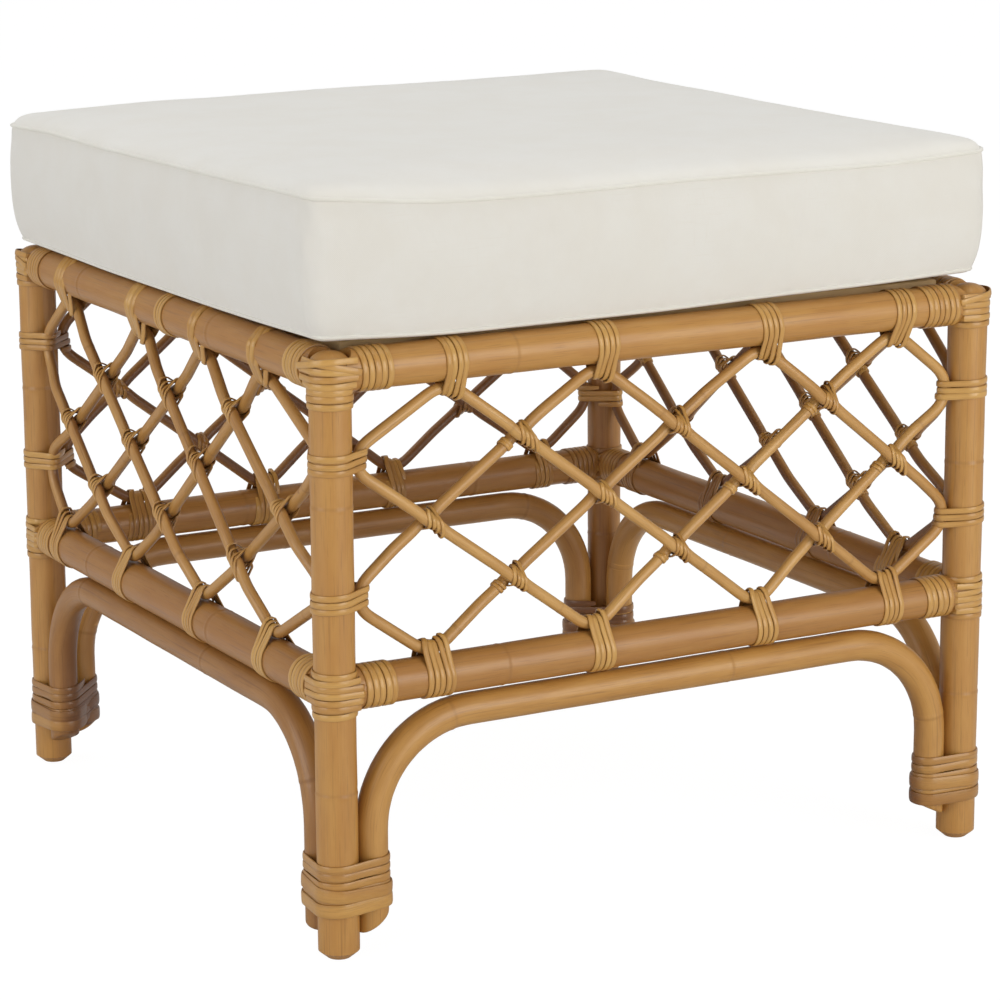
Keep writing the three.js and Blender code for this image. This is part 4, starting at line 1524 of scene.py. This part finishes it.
    def build_cross_lashings(self, side: Side) -> None:
        """Tie the canes to each other where they cross.

        Args:
            side: The side.
        """
        canes = self.side_cloud(side, *self.cane_names(side))
        peel, skin = self.cross_peel, Skin()
        draw = random.Random(400 + side.value)
        for spot, rising in self.lattice.crossings(side):
            origin = np.array([spot[0], 0.0, spot[1]])
            near = np.linalg.norm((canes - origin)[:, [0, 2]], axis=1) < self.knot_reach
            bundle = canes[near]
            lean = math.radians(draw.uniform(-11, 11))
            axis = np.array([math.cos(lean), 0.0, math.sin(lean)])
            start = -0.0042 + draw.uniform(-0.0008, 0.0008)
            peel.wind(skin, bundle, origin, axis, start, 4, draw, np.array([0.1, 1.0, 0.0]),
                      pinch=UP)
            if draw.random() > 0.6:
                continue
            along = np.array([rising[0], 0.0, rising[1]])
            place = origin - along * self.arm_place + BACKWARD * self.lattice.layer
            offsets = bundle - place
            sideways = np.linalg.norm(offsets - np.outer(offsets @ along, along), axis=1)
            peel.wind(skin, bundle[sideways < self.arm_reach], place, along, -0.0006, 2, draw,
                      BACKWARD, pitch=peel.step * 0.9)
        self.finish_at_side(skin, side, "cross_lashings")

    def build_leg_lashings(self, corner: Corner) -> None:
        """Tie the canes' bends to one leg, above and below.

        Args:
            corner: The leg's corner.
        """
        leg = self.corner_cloud(corner, f"leg_{corner.label}")
        canes = self.corner_cloud(corner, *self.cane_names(*self.corner_sides(corner)))
        canes = canes[np.linalg.norm(canes[:, :2], axis=1) < self.leg_reach]
        draw, peel = random.Random(500 + corner.value), self.leg_peel
        for name, row in (("upper", 1), ("lower", self.lattice.rows - 1)):
            height, skin = self.lattice.place(0, row)[1], Skin()
            near = np.abs(canes[:, 2] - height) < self.piece_half
            bundle = np.concatenate([leg, canes[near]])
            lean = draw.uniform(-0.05, 0.05)
            peel.wind(skin, bundle, UP * height, np.array([lean, -lean, 1.0]), -1.5 * peel.step, 3,
                      draw, INWARD)
            self.finish_at_corner(skin, corner, f"leg_lashing_{corner.label}_{name}")

    def build_foot_wrap(self, corner: Corner) -> None:
        """Tie a leg to the feet of its two arches.

        Args:
            corner: The leg's corner.
        """
        arches = [f"arch_{side.label}" for side in self.corner_sides(corner)]
        bundle = self.corner_cloud(corner, f"leg_{corner.label}", *arches)
        near = np.linalg.norm(bundle[:, :2], axis=1) < self.foot_reach
        bundle = bundle[near & (bundle[:, 2] < self.foot_height)]
        draw, origin, skin = random.Random(600 + corner.value), np.zeros(3), Skin()
        self.foot_peel.wind(skin, bundle, origin, np.array([0.02, -0.01, 1.0]), 0.0315, 6, draw,
                            INWARD, slack=0.0005)
        for place, lean in ((0.0352, -0.03), (0.0452, 0.035)):
            self.over_peel.wind(skin, bundle, origin, np.array([lean, -lean * 0.7, 1.0]), place, 1,
                                draw, INWARD, layer=1, pitch=0.0008)
        # The foot wraps are painted darker all over: painted shade near the floor.
        skin.tone = [tone - self.foot_browning for tone in skin.tone]
        self.finish_at_corner(skin, corner, f"foot_wrap_{corner.label}")

    def rail_ring(self, way: Array, height: float, reach: float) -> Array:
        """Lay a ring of points on a rail's surface, nearer to the leg above and below.

        Args:
            way: The rail's direction.
            height: The rail's height.
            reach: How far along the rail the ring is at half its height.

        Returns:
            The ring's points.
        """
        cos, sin = circle(24).T
        ring = np.outer(cos, np.cross(UP, way)) + np.outer(sin, UP)
        places = reach * (1 - 0.7 * sin ** 2)
        return np.outer(places, way) + ring * self.frame.rail_radius + UP * height

    def bind_joint(self, corner: Corner, level: Level) -> None:
        """Bind a leg to the ends of its two rails.

        Args:
            corner: The corner.
            level: The rails' level.
        """
        top, height = level is Level.TOP, self.frame.rail_height(level)
        sides, ways = self.corner_sides(corner), (RIGHTWARD, BACKWARD)
        leg = self.corner_cloud(corner, f"leg_{corner.label}")
        leg = leg[np.abs(leg[:, 2] - height) < 0.06]
        rails = [self.corner_cloud(corner, f"{level.label}_rail_{side.label}") for side in sides]
        draw = random.Random(700 + 2 * corner.value + level.value)
        skin, joint = Skin(), UP * height
        for way, rail, side in zip(ways, rails, sides):
            bundle = rail[(rail @ way > 0.006) & (rail @ way < 0.07)]
            turns = 6 if top and (corner, side) == self.long_collar else 5
            self.collar_peel.wind(skin, bundle, joint, way, 0.0166, turns, draw,
                                  INWARD - way - UP * 0.2)
        stubs = [rail[rail @ way < 0.0110] for way, rail in zip(ways, rails)]
        tips = [self.rail_ring(way, height, 0.0142) for way in ways]
        bundle = np.concatenate([leg, *stubs, *tips])
        first, count = self.cap_turns[corner.value] if top else self.lower_turns
        for index in range(count):
            tilt = np.array([draw.uniform(-0.03, 0.03), draw.uniform(-0.03, 0.03), 1.0])
            self.bind_peel.wind(skin, bundle, joint, tilt, first + index * self.bind_peel.width, 1,
                                draw, INWARD, layer=0.15 + 0.3 * (index % 2), pitch=0.0)
        for way, place, layer in ((ways[0], 0.0042, 0.9), (ways[1], 0.0058, 1.6)) if top else ():
            tilt = way * draw.uniform(0.16, 0.22) + UP
            self.bind_peel.wind(skin, bundle, joint, tilt, place, 1, draw, INWARD - UP * 0.3,
                                layer=layer, pitch=0.0)
        self.finish_at_corner(skin, corner, f"{level.label}_binding_{corner.label}")

    def build(self) -> None:
        """Build every winding."""
        for side in Side:
            self.build_rail_lashings(side, Level.TOP)
            self.build_rail_lashings(side, Level.LOWER)
            self.build_cross_lashings(side)
        for corner in Corner:
            self.build_leg_lashings(corner)
            self.build_foot_wrap(corner)
            self.bind_joint(corner, Level.TOP)
            self.bind_joint(corner, Level.LOWER)


# The seat deck

@dataclass
class Deck:
    """The two cleats and the row of slats that carry the cushion."""

    dresser: Dresser
    bevel: float = 0.0015
    slats: int = 7
    stations: int = 24
    margin: float = 0.01

    def build_board(self, node: str) -> None:
        """Build one board with eased edges in place of its plain CAD one.

        Args:
            node: The CAD node.
        """
        low, high = (np.array(corner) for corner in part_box(node))
        half, bevel = (high - low) / 2, self.bevel
        long = int(np.argmax(half))
        first, second = [axis for axis in range(3) if axis != long]
        draw = random.Random(sum(map(ord, node)))
        outline = []
        for quarter, (sx, sy) in enumerate(((1, 1), (-1, 1), (-1, -1), (1, -1))):
            for turn in np.linspace(0, math.pi / 2, 4) + quarter * math.pi / 2:
                outline.append((sx * (half[first] - bevel) + bevel * math.cos(turn),
                                sy * (half[second] - bevel) + bevel * math.sin(turn)))
        ring, end = np.array(outline), half[long]
        stations = np.concatenate([
            [-end, -end + bevel * 0.3, -end + bevel],
            np.linspace(-end + self.margin, end - self.margin, self.stations),
            [end - bevel, end - bevel * 0.3, end]])
        points = np.zeros((len(stations), len(ring), 3))
        for index, along in enumerate(stations):
            gap = min(1.0, (end - abs(along)) / bevel)
            pinch = bevel * (1 - math.sqrt(1 - (1 - gap) ** 2))
            points[index, :, long] = along
            points[index][:, [first, second]] = ring - np.sign(ring) * pinch
        places = points.transpose(2, 0, 1)
        fibre = fibre_places(places[first], places[second], places[long], draw)
        skin = Skin()
        skin.add(points + (low + high) / 2, fibre, draw.uniform(-1, 1), flipped=long == 1)
        self.dresser.dress(skin.to_object("board_" + node), Slot.DECK, Body.FRAME, node)

    def build(self) -> None:
        """Build every board."""
        slats = [f"deck_slat_{number}" for number in range(1, self.slats + 1)]
        for node in ("deck_cleat_left", "deck_cleat_right", *slats):
            self.build_board(node)


# The loose cushion

Faces = list[list[int]]


@dataclass
class Cushion:
    """The box cushion: its cover blown up by simulation, its piping, its zip and its foam."""

    dresser: Dresser
    half: float = 0.262947
    corner_radius: float = 0.017
    bottom: float = 0.4099
    seam_bottom: float = 0.41395
    seam_top: float = 0.50135
    taper: float = 0.0055
    tuck: float = 7.0
    edge_crown: float = 0.0100
    edge_reach: float = 0.024
    crown: float = 0.0020
    bulge: float = 0.003
    draw_in: float = 0.002
    left_growth: float = 0.0045
    right_growth: float = -0.0040
    top_lifts: BySide = (
        (0.0067, -0.0026, -0.0038, -0.0022, -0.0024, -0.0026),
        (0.0018, 0.0013, 0.0019, 0.0020, 0.0030, 0.0026),
        (0.0048, 0.0022, 0.0030, 0.0036, 0.0024, 0.0012),
        (-0.0022, 0.0016, 0.0005, 0.0016, 0.0033, 0.0049))
    low_lifts: BySide = (
        (0.0037, -0.0016, -0.0016, -0.0017, 0.0010, 0.0024),
        (0.0056, 0.0016, 0.0, -0.0004, 0.0, 0.0008),
        (0.0030, 0.0006, 0.0, -0.0004, 0.0, 0.0004),
        (0.0004, -0.0003, -0.0018, -0.0015, -0.0007, 0.0010))
    seat_half: float = 0.232
    edge_lift: float = 0.0015
    lift_reach: float = 0.012
    seam_reach: float = 0.008
    straight_cells: int = 80
    corner_cells: int = 4
    side_cells: int = 15
    piping_radius: float = 0.0014
    cap: float = 0.007
    calming: int = 14
    cloth: dict[str, float] = field(default_factory=lambda: {
        "mass": 0.2, "tension_stiffness": 30, "compression_stiffness": 30, "shear_stiffness": 12,
        "bending_stiffness": 1.5, "tension_damping": 25, "compression_damping": 25,
        "air_damping": 8.0, "uniform_pressure_force": 1.7, "shrink_min": -0.002, "quality": 6})
    frames: int = 20
    filled_before: float = 0.72
    stray: float = 0.0005
    foam_growth: float = -0.0035
    foam_filled: float = 0.5
    zip_half: float = 0.15
    zip_height: float = 0.4577
    tape_gap: float = 0.0007
    tape_edge: float = 0.0040
    tape_depth: float = 0.0012
    tape_lifts: tuple[float, float, float] = (0.0003, 0.0007, 0.0006)
    tooth_pitch: float = 0.0018
    tooth_radius: float = 0.00055

    @property
    def cells(self) -> int:
        """How many cells the square grid has along each side."""
        return self.straight_cells + 2 * self.corner_cells

    def plan(self, growth: float) -> Array:
        """Lay the square grid over the rounded, drawn-in outline.

        Args:
            growth: How much larger the outline is than the top seam.

        Returns:
            The places in the plane, by grid row and column.
        """
        half, radius = self.half + growth, self.corner_radius + growth
        straight = half - radius
        ticks = np.concatenate([
            -straight - radius * np.linspace(1, 0, self.corner_cells + 1)[:-1],
            np.linspace(-straight, straight, self.straight_cells + 1),
            straight + radius * np.linspace(0, 1, self.corner_cells + 1)[1:]])
        x, y = np.meshgrid(ticks, ticks, indexing="ij")
        s = np.clip((np.abs(x) - straight) / radius, 0, 1)
        t = np.clip((np.abs(y) - straight) / radius, 0, 1)
        both = (s > 0) & (t > 0)
        larger, smaller = np.maximum(s, t), np.minimum(s, t)
        angle = smaller / np.maximum(larger, 1e-9) * math.pi / 4
        near, far = larger * np.cos(angle), larger * np.sin(angle)
        new_s, new_t = np.where(s >= t, near, far), np.where(s >= t, far, near)
        x = np.where(both, np.sign(x) * (straight + radius * new_s), x)
        y = np.where(both, np.sign(y) * (straight + radius * new_t), y)
        pull_x = self.draw_in * np.cos(np.clip(y / half, -1, 1) * math.pi / 2) ** 2 * x / half
        pull_y = self.draw_in * np.cos(np.clip(x / half, -1, 1) * math.pi / 2) ** 2 * y / half
        return np.stack([x - pull_x, y - pull_y], axis=2)

    def rim(self) -> list[tuple[int, int]]:
        """List the grid's edge points, anticlockwise from the front left.

        Returns:
            Each point's column and row.
        """
        n = self.cells
        return ([(i, 0) for i in range(n)] + [(n, j) for j in range(n)]
                + [(n - i, n) for i in range(n)] + [(0, n - j) for j in range(n)])

    def outward(self, loop: Array) -> Array:
        """Return the outward direction at each point of a loop that runs anticlockwise."""
        along = directions(loop, True)
        return unit(np.stack([along[:, 1], -along[:, 0], np.zeros(len(loop))], axis=1))

    def shell(self, growth: float, filled: float) -> tuple[Array, Faces, dict[str, list[int]]]:
        """Build the closed form of the cover.

        Args:
            growth: How much larger it is than the cover.
            filled: How much of its crown and side bulge it has.

        Returns:
            Its points, its faces, and the indices of its seams and its bottom.
        """
        size = self.cells + 1
        top_plan, low_plan = self.plan(growth), self.plan(growth - self.taper)
        ticks = np.abs(np.linspace(-1, 1, size))
        depth = 1 - np.maximum.outer(ticks, ticks)
        near = np.clip(depth * self.half / self.edge_reach, 0, 1)
        dome = self.edge_crown * filled * np.sqrt(1 - (1 - near) ** 2)
        dome += self.crown * filled * np.sqrt(np.maximum(0, 1 - (1 - depth) ** 4))
        top = np.concatenate([top_plan, (self.seam_top + growth + dome)[..., None]], axis=2)
        reach = np.max(np.abs(low_plan), axis=2)
        lift = self.edge_lift * np.clip((reach - self.seat_half) / self.lift_reach, 0, 1)
        edge = np.clip(1 - depth * self.half / self.seam_reach, 0, 1)
        base = self.bottom - growth + lift
        base = base + (self.seam_bottom - self.bottom - self.edge_lift) * edge ** 2
        low = np.concatenate([low_plan, base[..., None]], axis=2)
        points = [top.reshape(-1, 3), low.reshape(-1, 3)]
        faces = []
        for face in grid_faces(self.cells):
            faces += [face, [size * size + index for index in face[::-1]]]
        rim = self.rim()
        high_ring = [i * size + j for i, j in rim]
        low_ring = [size * size + index for index in high_ring]
        upper, lower = (np.array([grid[spot] for spot in rim]) for grid in (top, low))
        outward = self.outward(upper)
        rings = [low_ring]
        for row in range(1, self.side_cells):
            rise = row / self.side_cells
            swell = self.bulge * filled * math.sin(rise * math.pi) ** 0.8
            spread = 1 - (1 - rise) ** self.tuck
            ring = lower + (upper - lower) * np.array([spread, spread, rise])
            points.append(ring + outward * swell)
            start = 2 * size * size + (row - 1) * len(rim)
            rings.append(list(range(start, start + len(rim))))
        rings.append(high_ring)
        for below, above in zip(rings[:-1], rings[1:]):
            for k in range(len(rim)):
                after = (k + 1) % len(rim)
                faces.append([below[k], below[after], above[after], above[k]])
        spots = {"high": high_ring, "low": low_ring,
                 "bottom": list(range(size * size, 2 * size * size))}
        return np.concatenate(points), faces, spots

    def rim_lift(self, x: Array, y: Array, lifts: BySide) -> Array:
        """Find how far a seam's unevenness lifts places of the plan.

        Args:
            x: The places across, as shares of the half side.
            y: The places back, as shares of the half side.
            lifts: The lifts at even stations along each side, from its left corner on.

        Returns:
            The lifts, eased between the stations and fading towards the middle.
        """
        reach = np.maximum(np.maximum(np.abs(x), np.abs(y)), 1e-6)
        way = np.select([y <= -reach, x >= reach, y >= reach],
                        [x / reach, 2 + y / reach, 4 - x / reach], 6 - y / reach)
        table = np.array(lifts).ravel()
        ticks = np.arange(256) / 32 - 1
        dense = np.interp(ticks, np.arange(len(table)) * 8 / len(table) - 1, table, period=8)
        weights = np.hanning(13)[1:-1]
        padded = np.concatenate([dense[-5:], dense, dense[:5]])
        smooth = np.convolve(padded, weights / weights.sum(), "valid")
        return np.interp(way, ticks, smooth, period=8) * np.clip(reach, 0, 1) ** 4

    def settled(self, points: Array) -> Array:
        """Give the even form the small unevenness of the real cushion.

        Args:
            points: Points of the even form.

        Returns:
            The points with the left side fuller and the seams raised or slack from place to place.
        """
        moved = points.copy()
        x, y = points[:, 0] / self.half, points[:, 1] / self.half
        rise = np.clip((points[:, 2] - self.bottom) / (self.seam_top - self.bottom), 0, 1)
        moved[:, 0] += np.interp(x, (-1, 0, 1), (-self.left_growth, 0, self.right_growth))
        moved[:, 2] += self.rim_lift(x, y, self.top_lifts) * rise
        moved[:, 2] += self.rim_lift(x, y, self.low_lifts) * (1 - rise)
        moved[:, 2] = np.maximum(moved[:, 2], self.bottom)
        return moved

    def wave(self, points: Array) -> Array:
        """Find how the loose cloth strays, for its soft unevenness.

        Args:
            points: One point a row.

        Returns:
            A share of the stray for each point.
        """
        return np.array([
            noise.noise(Vector((x * 9.0, y * 9.0, z * 7.0 + 3.1)))
            + 0.5 * noise.noise(Vector((x * 24.0, y * 24.0, z * 20.0 + 8.7)))
            for x, y, z in points])

    def simulated(self, points: Array, faces: Faces, held: list[int]) -> Array:
        """Blow the cover up against its seams.

        Args:
            points: The cover's points before.
            faces: Its faces.
            held: The points that stay in place.

        Returns:
            The cover's points afterwards.
        """
        mesh = bpy.data.meshes.new("blown_cover")
        mesh.from_pydata(points.tolist(), [], faces)
        blown = linked("blown_cover", mesh)
        blown.vertex_groups.new(name="held").add(held, 1.0, "REPLACE")
        cloth = blown.modifiers.new("cloth", "CLOTH")
        for key, value in self.cloth.items():
            setattr(cloth.settings, key, value)
        cloth.settings.use_pressure = True
        cloth.settings.vertex_group_mass = "held"
        cloth.settings.effector_weights.gravity = 0.0
        cloth.collision_settings.use_collision = False
        cloth.collision_settings.use_self_collision = False
        cloth.point_cache.frame_start = 1
        cloth.point_cache.frame_end = self.frames
        scene = bpy.context.scene
        for frame_number in range(1, self.frames + 1):
            scene.frame_set(frame_number)
        evaluated = blown.evaluated_get(bpy.context.evaluated_depsgraph_get())
        moved = np.zeros(len(points) * 3)
        evaluated.data.vertices.foreach_get("co", moved)
        bpy.data.objects.remove(blown)
        bpy.data.meshes.remove(mesh)
        scene.frame_set(1)
        return points + self.calmed(moved.reshape(-1, 3) - points)

    def calmed(self, change: Array) -> Array:
        """Soften what the simulation did.

        Args:
            change: How each point moved.

        Returns:
            The moves, none longer than the cap, and even over the top.
        """
        length = np.linalg.norm(change, axis=1, keepdims=True)
        change *= self.cap * (1 - np.exp(-length / self.cap)) / np.maximum(length, 1e-9)
        size = self.cells + 1
        grid = change[:size * size].reshape(size, size, 3)
        for _ in range(self.calming):
            around = grid[:-2, 1:-1] + grid[2:, 1:-1] + grid[1:-1, :-2] + grid[1:-1, 2:]
            grid[1:-1, 1:-1] = around / 4
        return change

    def smooth_object(self, name: str, points: Array, faces: Faces, finer: bool) -> Object:
        """Make a smooth object.

        Args:
            name: The piece's name.
            points: Its points.
            faces: Its faces.
            finer: Whether it is subdivided.

        Returns:
            The object, with no modifier left on it.
        """
        mesh = bpy.data.meshes.new(name)
        mesh.from_pydata(points.tolist(), [], faces)
        made = linked(name, mesh)
        if finer:
            made.modifiers.new("finer", "SUBSURF").levels = 1
            evaluated = made.evaluated_get(bpy.context.evaluated_depsgraph_get())
            smooth = bpy.data.meshes.new_from_object(evaluated)
            made.modifiers.clear()
            made.data = smooth
            bpy.data.meshes.remove(mesh)
            smooth.name = name
        made.data.shade_smooth()
        return made

    def build_piping(self, node: str, seam: Array, inset: float, seed: int) -> None:
        """Sew piping along a seam.

        Args:
            node: The CAD node.
            seam: The seam's points.
            inset: How far it is set in, and which way up or down it moves.
            seed: Picks its small unevenness.
        """
        line = seam - self.outward(seam) * abs(inset) + UP * inset
        line = resampled(np.concatenate([line, line[:1]]), 0.004)
        stick = Stick(line, self.piping_radius, 12, seed, uneven=0.03, closed=True, first=UP)
        skin = Skin()
        stick.build(skin)
        self.dresser.dress(skin.to_object("cord_" + node, 80.0), Slot.PIPING, Body.CUSHION, node)

    def build_zip(self, cover: Object) -> None:
        """Set the closed zip into the cover's back: two tapes, the coil, the slider and its tab.

        Args:
            cover: The finished cover.
        """
        tree = BVHTree.FromPolygons([v.co.copy() for v in cover.data.vertices],
                                    [tuple(p.vertices) for p in cover.data.polygons])

        def surface(x: float, z: float) -> float:
            """Return how far back the cover reaches at a place."""
            hit = tree.ray_cast(Vector((x, 0.4, z)), Vector((0, -1, 0)))[0]
            return hit.y if hit else self.half

        skin, middle = Skin(), self.zip_height
        for low, high in ((-self.tape_edge, -self.tape_gap), (self.tape_gap, self.tape_edge)):
            heights = [middle + low, middle + (low + high) / 2, middle + high]
            rows = []
            for x in np.linspace(-self.zip_half, self.zip_half, 101):
                reach = [surface(x, z) for z in heights]
                outer = [(x, y + lift, z) for y, z, lift in zip(reach, heights, self.tape_lifts)]
                inner = [(x, y - self.tape_depth, z) for y, z in zip(reach, heights)]
                rows.append(outer + inner[::-1])
            skin.add(np.array(rows), np.array(rows))
        for index in range(int(2 * self.zip_half / self.tooth_pitch) - 3):
            x = -self.zip_half + self.tooth_pitch * (index + 2)
            lean = 0.0004 if index % 2 else -0.0004
            depth = surface(x, middle)
            line = np.array([
                [x, depth - 0.0006, middle - 0.0013], [x + lean, depth + 0.0009, middle - 0.0006],
                [x + lean, depth + 0.0009, middle + 0.0006], [x, depth - 0.0006, middle + 0.0013]])
            Stick(line, self.tooth_radius, 6, index, uneven=0.0, first=RIGHTWARD).build(skin)
        end = -self.zip_half + 0.006
        depth = surface(end, middle) + 0.0006
        body = np.array([[end, depth, middle], [end + 0.009, depth, middle]])
        trim = ((0, 0.0014), (0.002, 0))
        Stick(resampled(body, 0.0015), 0.0026, 10, 5, (), trim, trim, uneven=0.0).build(skin)
        tab = np.array([[end + 0.004, depth + 0.0022, middle - 0.001],
                        [end + 0.004, depth + 0.0026, middle - 0.016]])
        trim = ((0, 0.0006), (0.001, 0))
        Stick(resampled(tab, 0.002), 0.0014, 8, 6, (), trim, trim, uneven=0.0,
              first=RIGHTWARD).build(skin)
        piece = skin.to_object("closure_cushion_zip", 50.0)
        self.dresser.dress(piece, Slot.ZIP, Body.CUSHION, "cushion_zip")

    def build(self) -> None:
        """Build the cover, the piping, the zip and the foam."""
        points, faces, spots = self.shell(0.0, self.filled_before)
        points = self.simulated(points, faces, spots["bottom"] + spots["high"])
        bottom = spots["bottom"]
        upper = np.ones(len(points))
        upper[bottom] = 0.0
        points = points + UP * (self.stray * self.wave(points) * upper)[:, None]
        points[bottom, 2] = np.maximum(points[bottom, 2], self.bottom)
        points = self.settled(points)
        cover = self.smooth_object("padded_cushion_cover", points, faces, True)
        self.dresser.dress(cover, Slot.COVER, Body.CUSHION, "cushion_cover")
        self.build_piping("cushion_piping_top", points[spots["high"]], -0.0001, 900)
        self.build_piping("cushion_piping_bottom", points[spots["low"]], 0.0003, 901)
        self.build_zip(cover)
        inner, faces, _ = self.shell(self.foam_growth, self.foam_filled)
        foam = self.smooth_object("block_cushion_foam", self.settled(inner), faces, False)
        self.dresser.dress(foam, Slot.FOAM, Body.CUSHION, "cushion_foam")


# The studio

@dataclass(frozen=True)
class Lamp:
    """A soft square lamp that points at the ottoman."""

    name: str
    place: tuple[float, float, float]
    size: float
    power: float
    colour: tuple[float, float, float]
    aim: tuple[float, float, float] = (0.0, 0.0, 0.3)

    def hang(self) -> None:
        """Hang the lamp."""
        data = bpy.data.lights.new(self.name, "AREA")
        data.shape, data.size = "SQUARE", self.size
        data.energy, data.color = self.power, self.colour
        lamp = linked(self.name, data)
        lamp.location = self.place
        aim = Vector(self.aim) - Vector(self.place)
        lamp.rotation_euler = aim.to_track_quat("-Z", "Y").to_euler()


@dataclass
class Studio:
    """The camera, the soft lamps, the pale floor and the white surroundings."""

    azimuth: float = -28.97
    elevation: float = 13.14
    roll: float = -0.33
    distance: float = 2.7194
    target: tuple[float, float, float] = (0.07292, 0.11053, 0.199)
    lens: float = 125.12
    sensor: float = 36.0
    lamps: tuple[Lamp, ...] = (
        Lamp("key", (0.9, -2.9, 1.0), 2.0, 41.0, (1.0, 0.97, 0.91)),
        Lamp("top", (0.1, 0.3, 2.9), 2.0, 28.0, (0.97, 0.985, 1.0)),
        Lamp("fill", (-3.0, -0.3, 1.2), 2.2, 32.0, (1.0, 0.985, 0.96)))
    ambient: tuple[float, float] = (0.5, 0.3)
    floor_share: float = 0.88
    floor_glow: float = 1.1
    floor_reach: float = 9.0
    floor_cells: int = 12
    floor_gap: float = 0.0004

    def build_camera(self) -> None:
        """Place the camera as the photograph's."""
        a, e, r = (math.radians(value) for value in (self.azimuth, self.elevation, self.roll))
        back = Vector((math.sin(a) * math.cos(e), -math.cos(a) * math.cos(e), math.sin(e)))
        right = (-back).cross(Vector((0, 0, 1))).normalized()
        up = right.cross(-back).normalized()
        across = right * math.cos(r) + up * math.sin(r)
        upright = up * math.cos(r) - right * math.sin(r)
        data = bpy.data.cameras.new("camera")
        data.lens, data.sensor_width = self.lens, self.sensor
        data.clip_start, data.clip_end = 0.05, 60.0
        camera = linked("camera", data)
        place = Matrix.Translation(Vector(self.target) + back * self.distance)
        camera.matrix_world = place @ Matrix((across, upright, back)).transposed().to_4x4()
        bpy.context.scene.camera = camera

    def seen(self, graph: Graph) -> NodeSocket:
        """Return whether a ray comes from the camera, straight or through something clear."""
        path = graph.node("LightPath").outputs
        return graph.maths("MAXIMUM", path["Is Camera Ray"], path["Is Transmission Ray"])

    def build_world(self) -> None:
        """Light the surroundings, which look white."""
        world = bpy.data.worlds.new("studio")
        bpy.context.scene.world = world
        world.use_nodes = True
        graph = Graph(world.node_tree)
        way = graph.node("TexCoord").outputs["Generated"]
        height = graph.node("SeparateXYZ", {0: way}).outputs[2]
        dim = graph.ranged(height, 0.0, 1.0, *self.ambient, "LINEAR")
        strength = graph.maths("MAXIMUM", self.seen(graph), dim)
        glow = graph.node("Background", {"Color": (1.0, 1.0, 1.0, 1.0), "Strength": strength})
        graph.node("OutputWorld", {"Surface": glow.outputs[0]})

    def build_floor(self) -> None:
        """Lay the pale floor, which keeps a faint shadow."""
        material, graph = new_material("studio_floor")
        place = graph.node("TexCoord").outputs["Object"]
        tint = graph.mixed(graph.noise(place, 3.0), (0.74, 0.74, 0.74, 1), (0.76, 0.76, 0.76, 1))
        matte = graph.node("BsdfDiffuse", {"Color": tint})
        glow = graph.node("Emission", {"Color": (1, 1, 1, 1), "Strength": self.floor_glow})
        share = graph.maths("MULTIPLY", self.seen(graph), self.floor_share)
        graph.cover(graph.node("MixShader", {0: share, 1: matte.outputs[0], 2: glow.outputs[0]}))
        ticks = np.linspace(-self.floor_reach, self.floor_reach, self.floor_cells + 1)
        mesh = bpy.data.meshes.new("floor")
        mesh.from_pydata([(x, y, 0.0) for x in ticks for y in ticks], [],
                         grid_faces(self.floor_cells))
        floor = linked("floor", mesh)
        floor.location.z = -self.floor_gap
        mesh.materials.append(material)

    def build(self) -> None:
        """Set the studio up."""
        self.build_camera()
        self.build_world()
        self.build_floor()
        for lamp in self.lamps:
            lamp.hang()
        bpy.context.scene.view_settings.view_transform = "Standard"


def write_size() -> None:
    """Update the view layer.
    """
    bpy.context.view_layer.update()


def main() -> None:
    """Build the whole ottoman and its studio."""
    dresser = Dresser(Palette().build())
    poles = PoleFrame(dresser)
    poles.build()
    lattice = Lattice(poles)
    lattice.build()
    Windings(poles, lattice).build()
    Deck(dresser).build()
    Cushion(dresser).build()
    Studio().build()
    write_size()


if __name__ == "__main__":
    main()
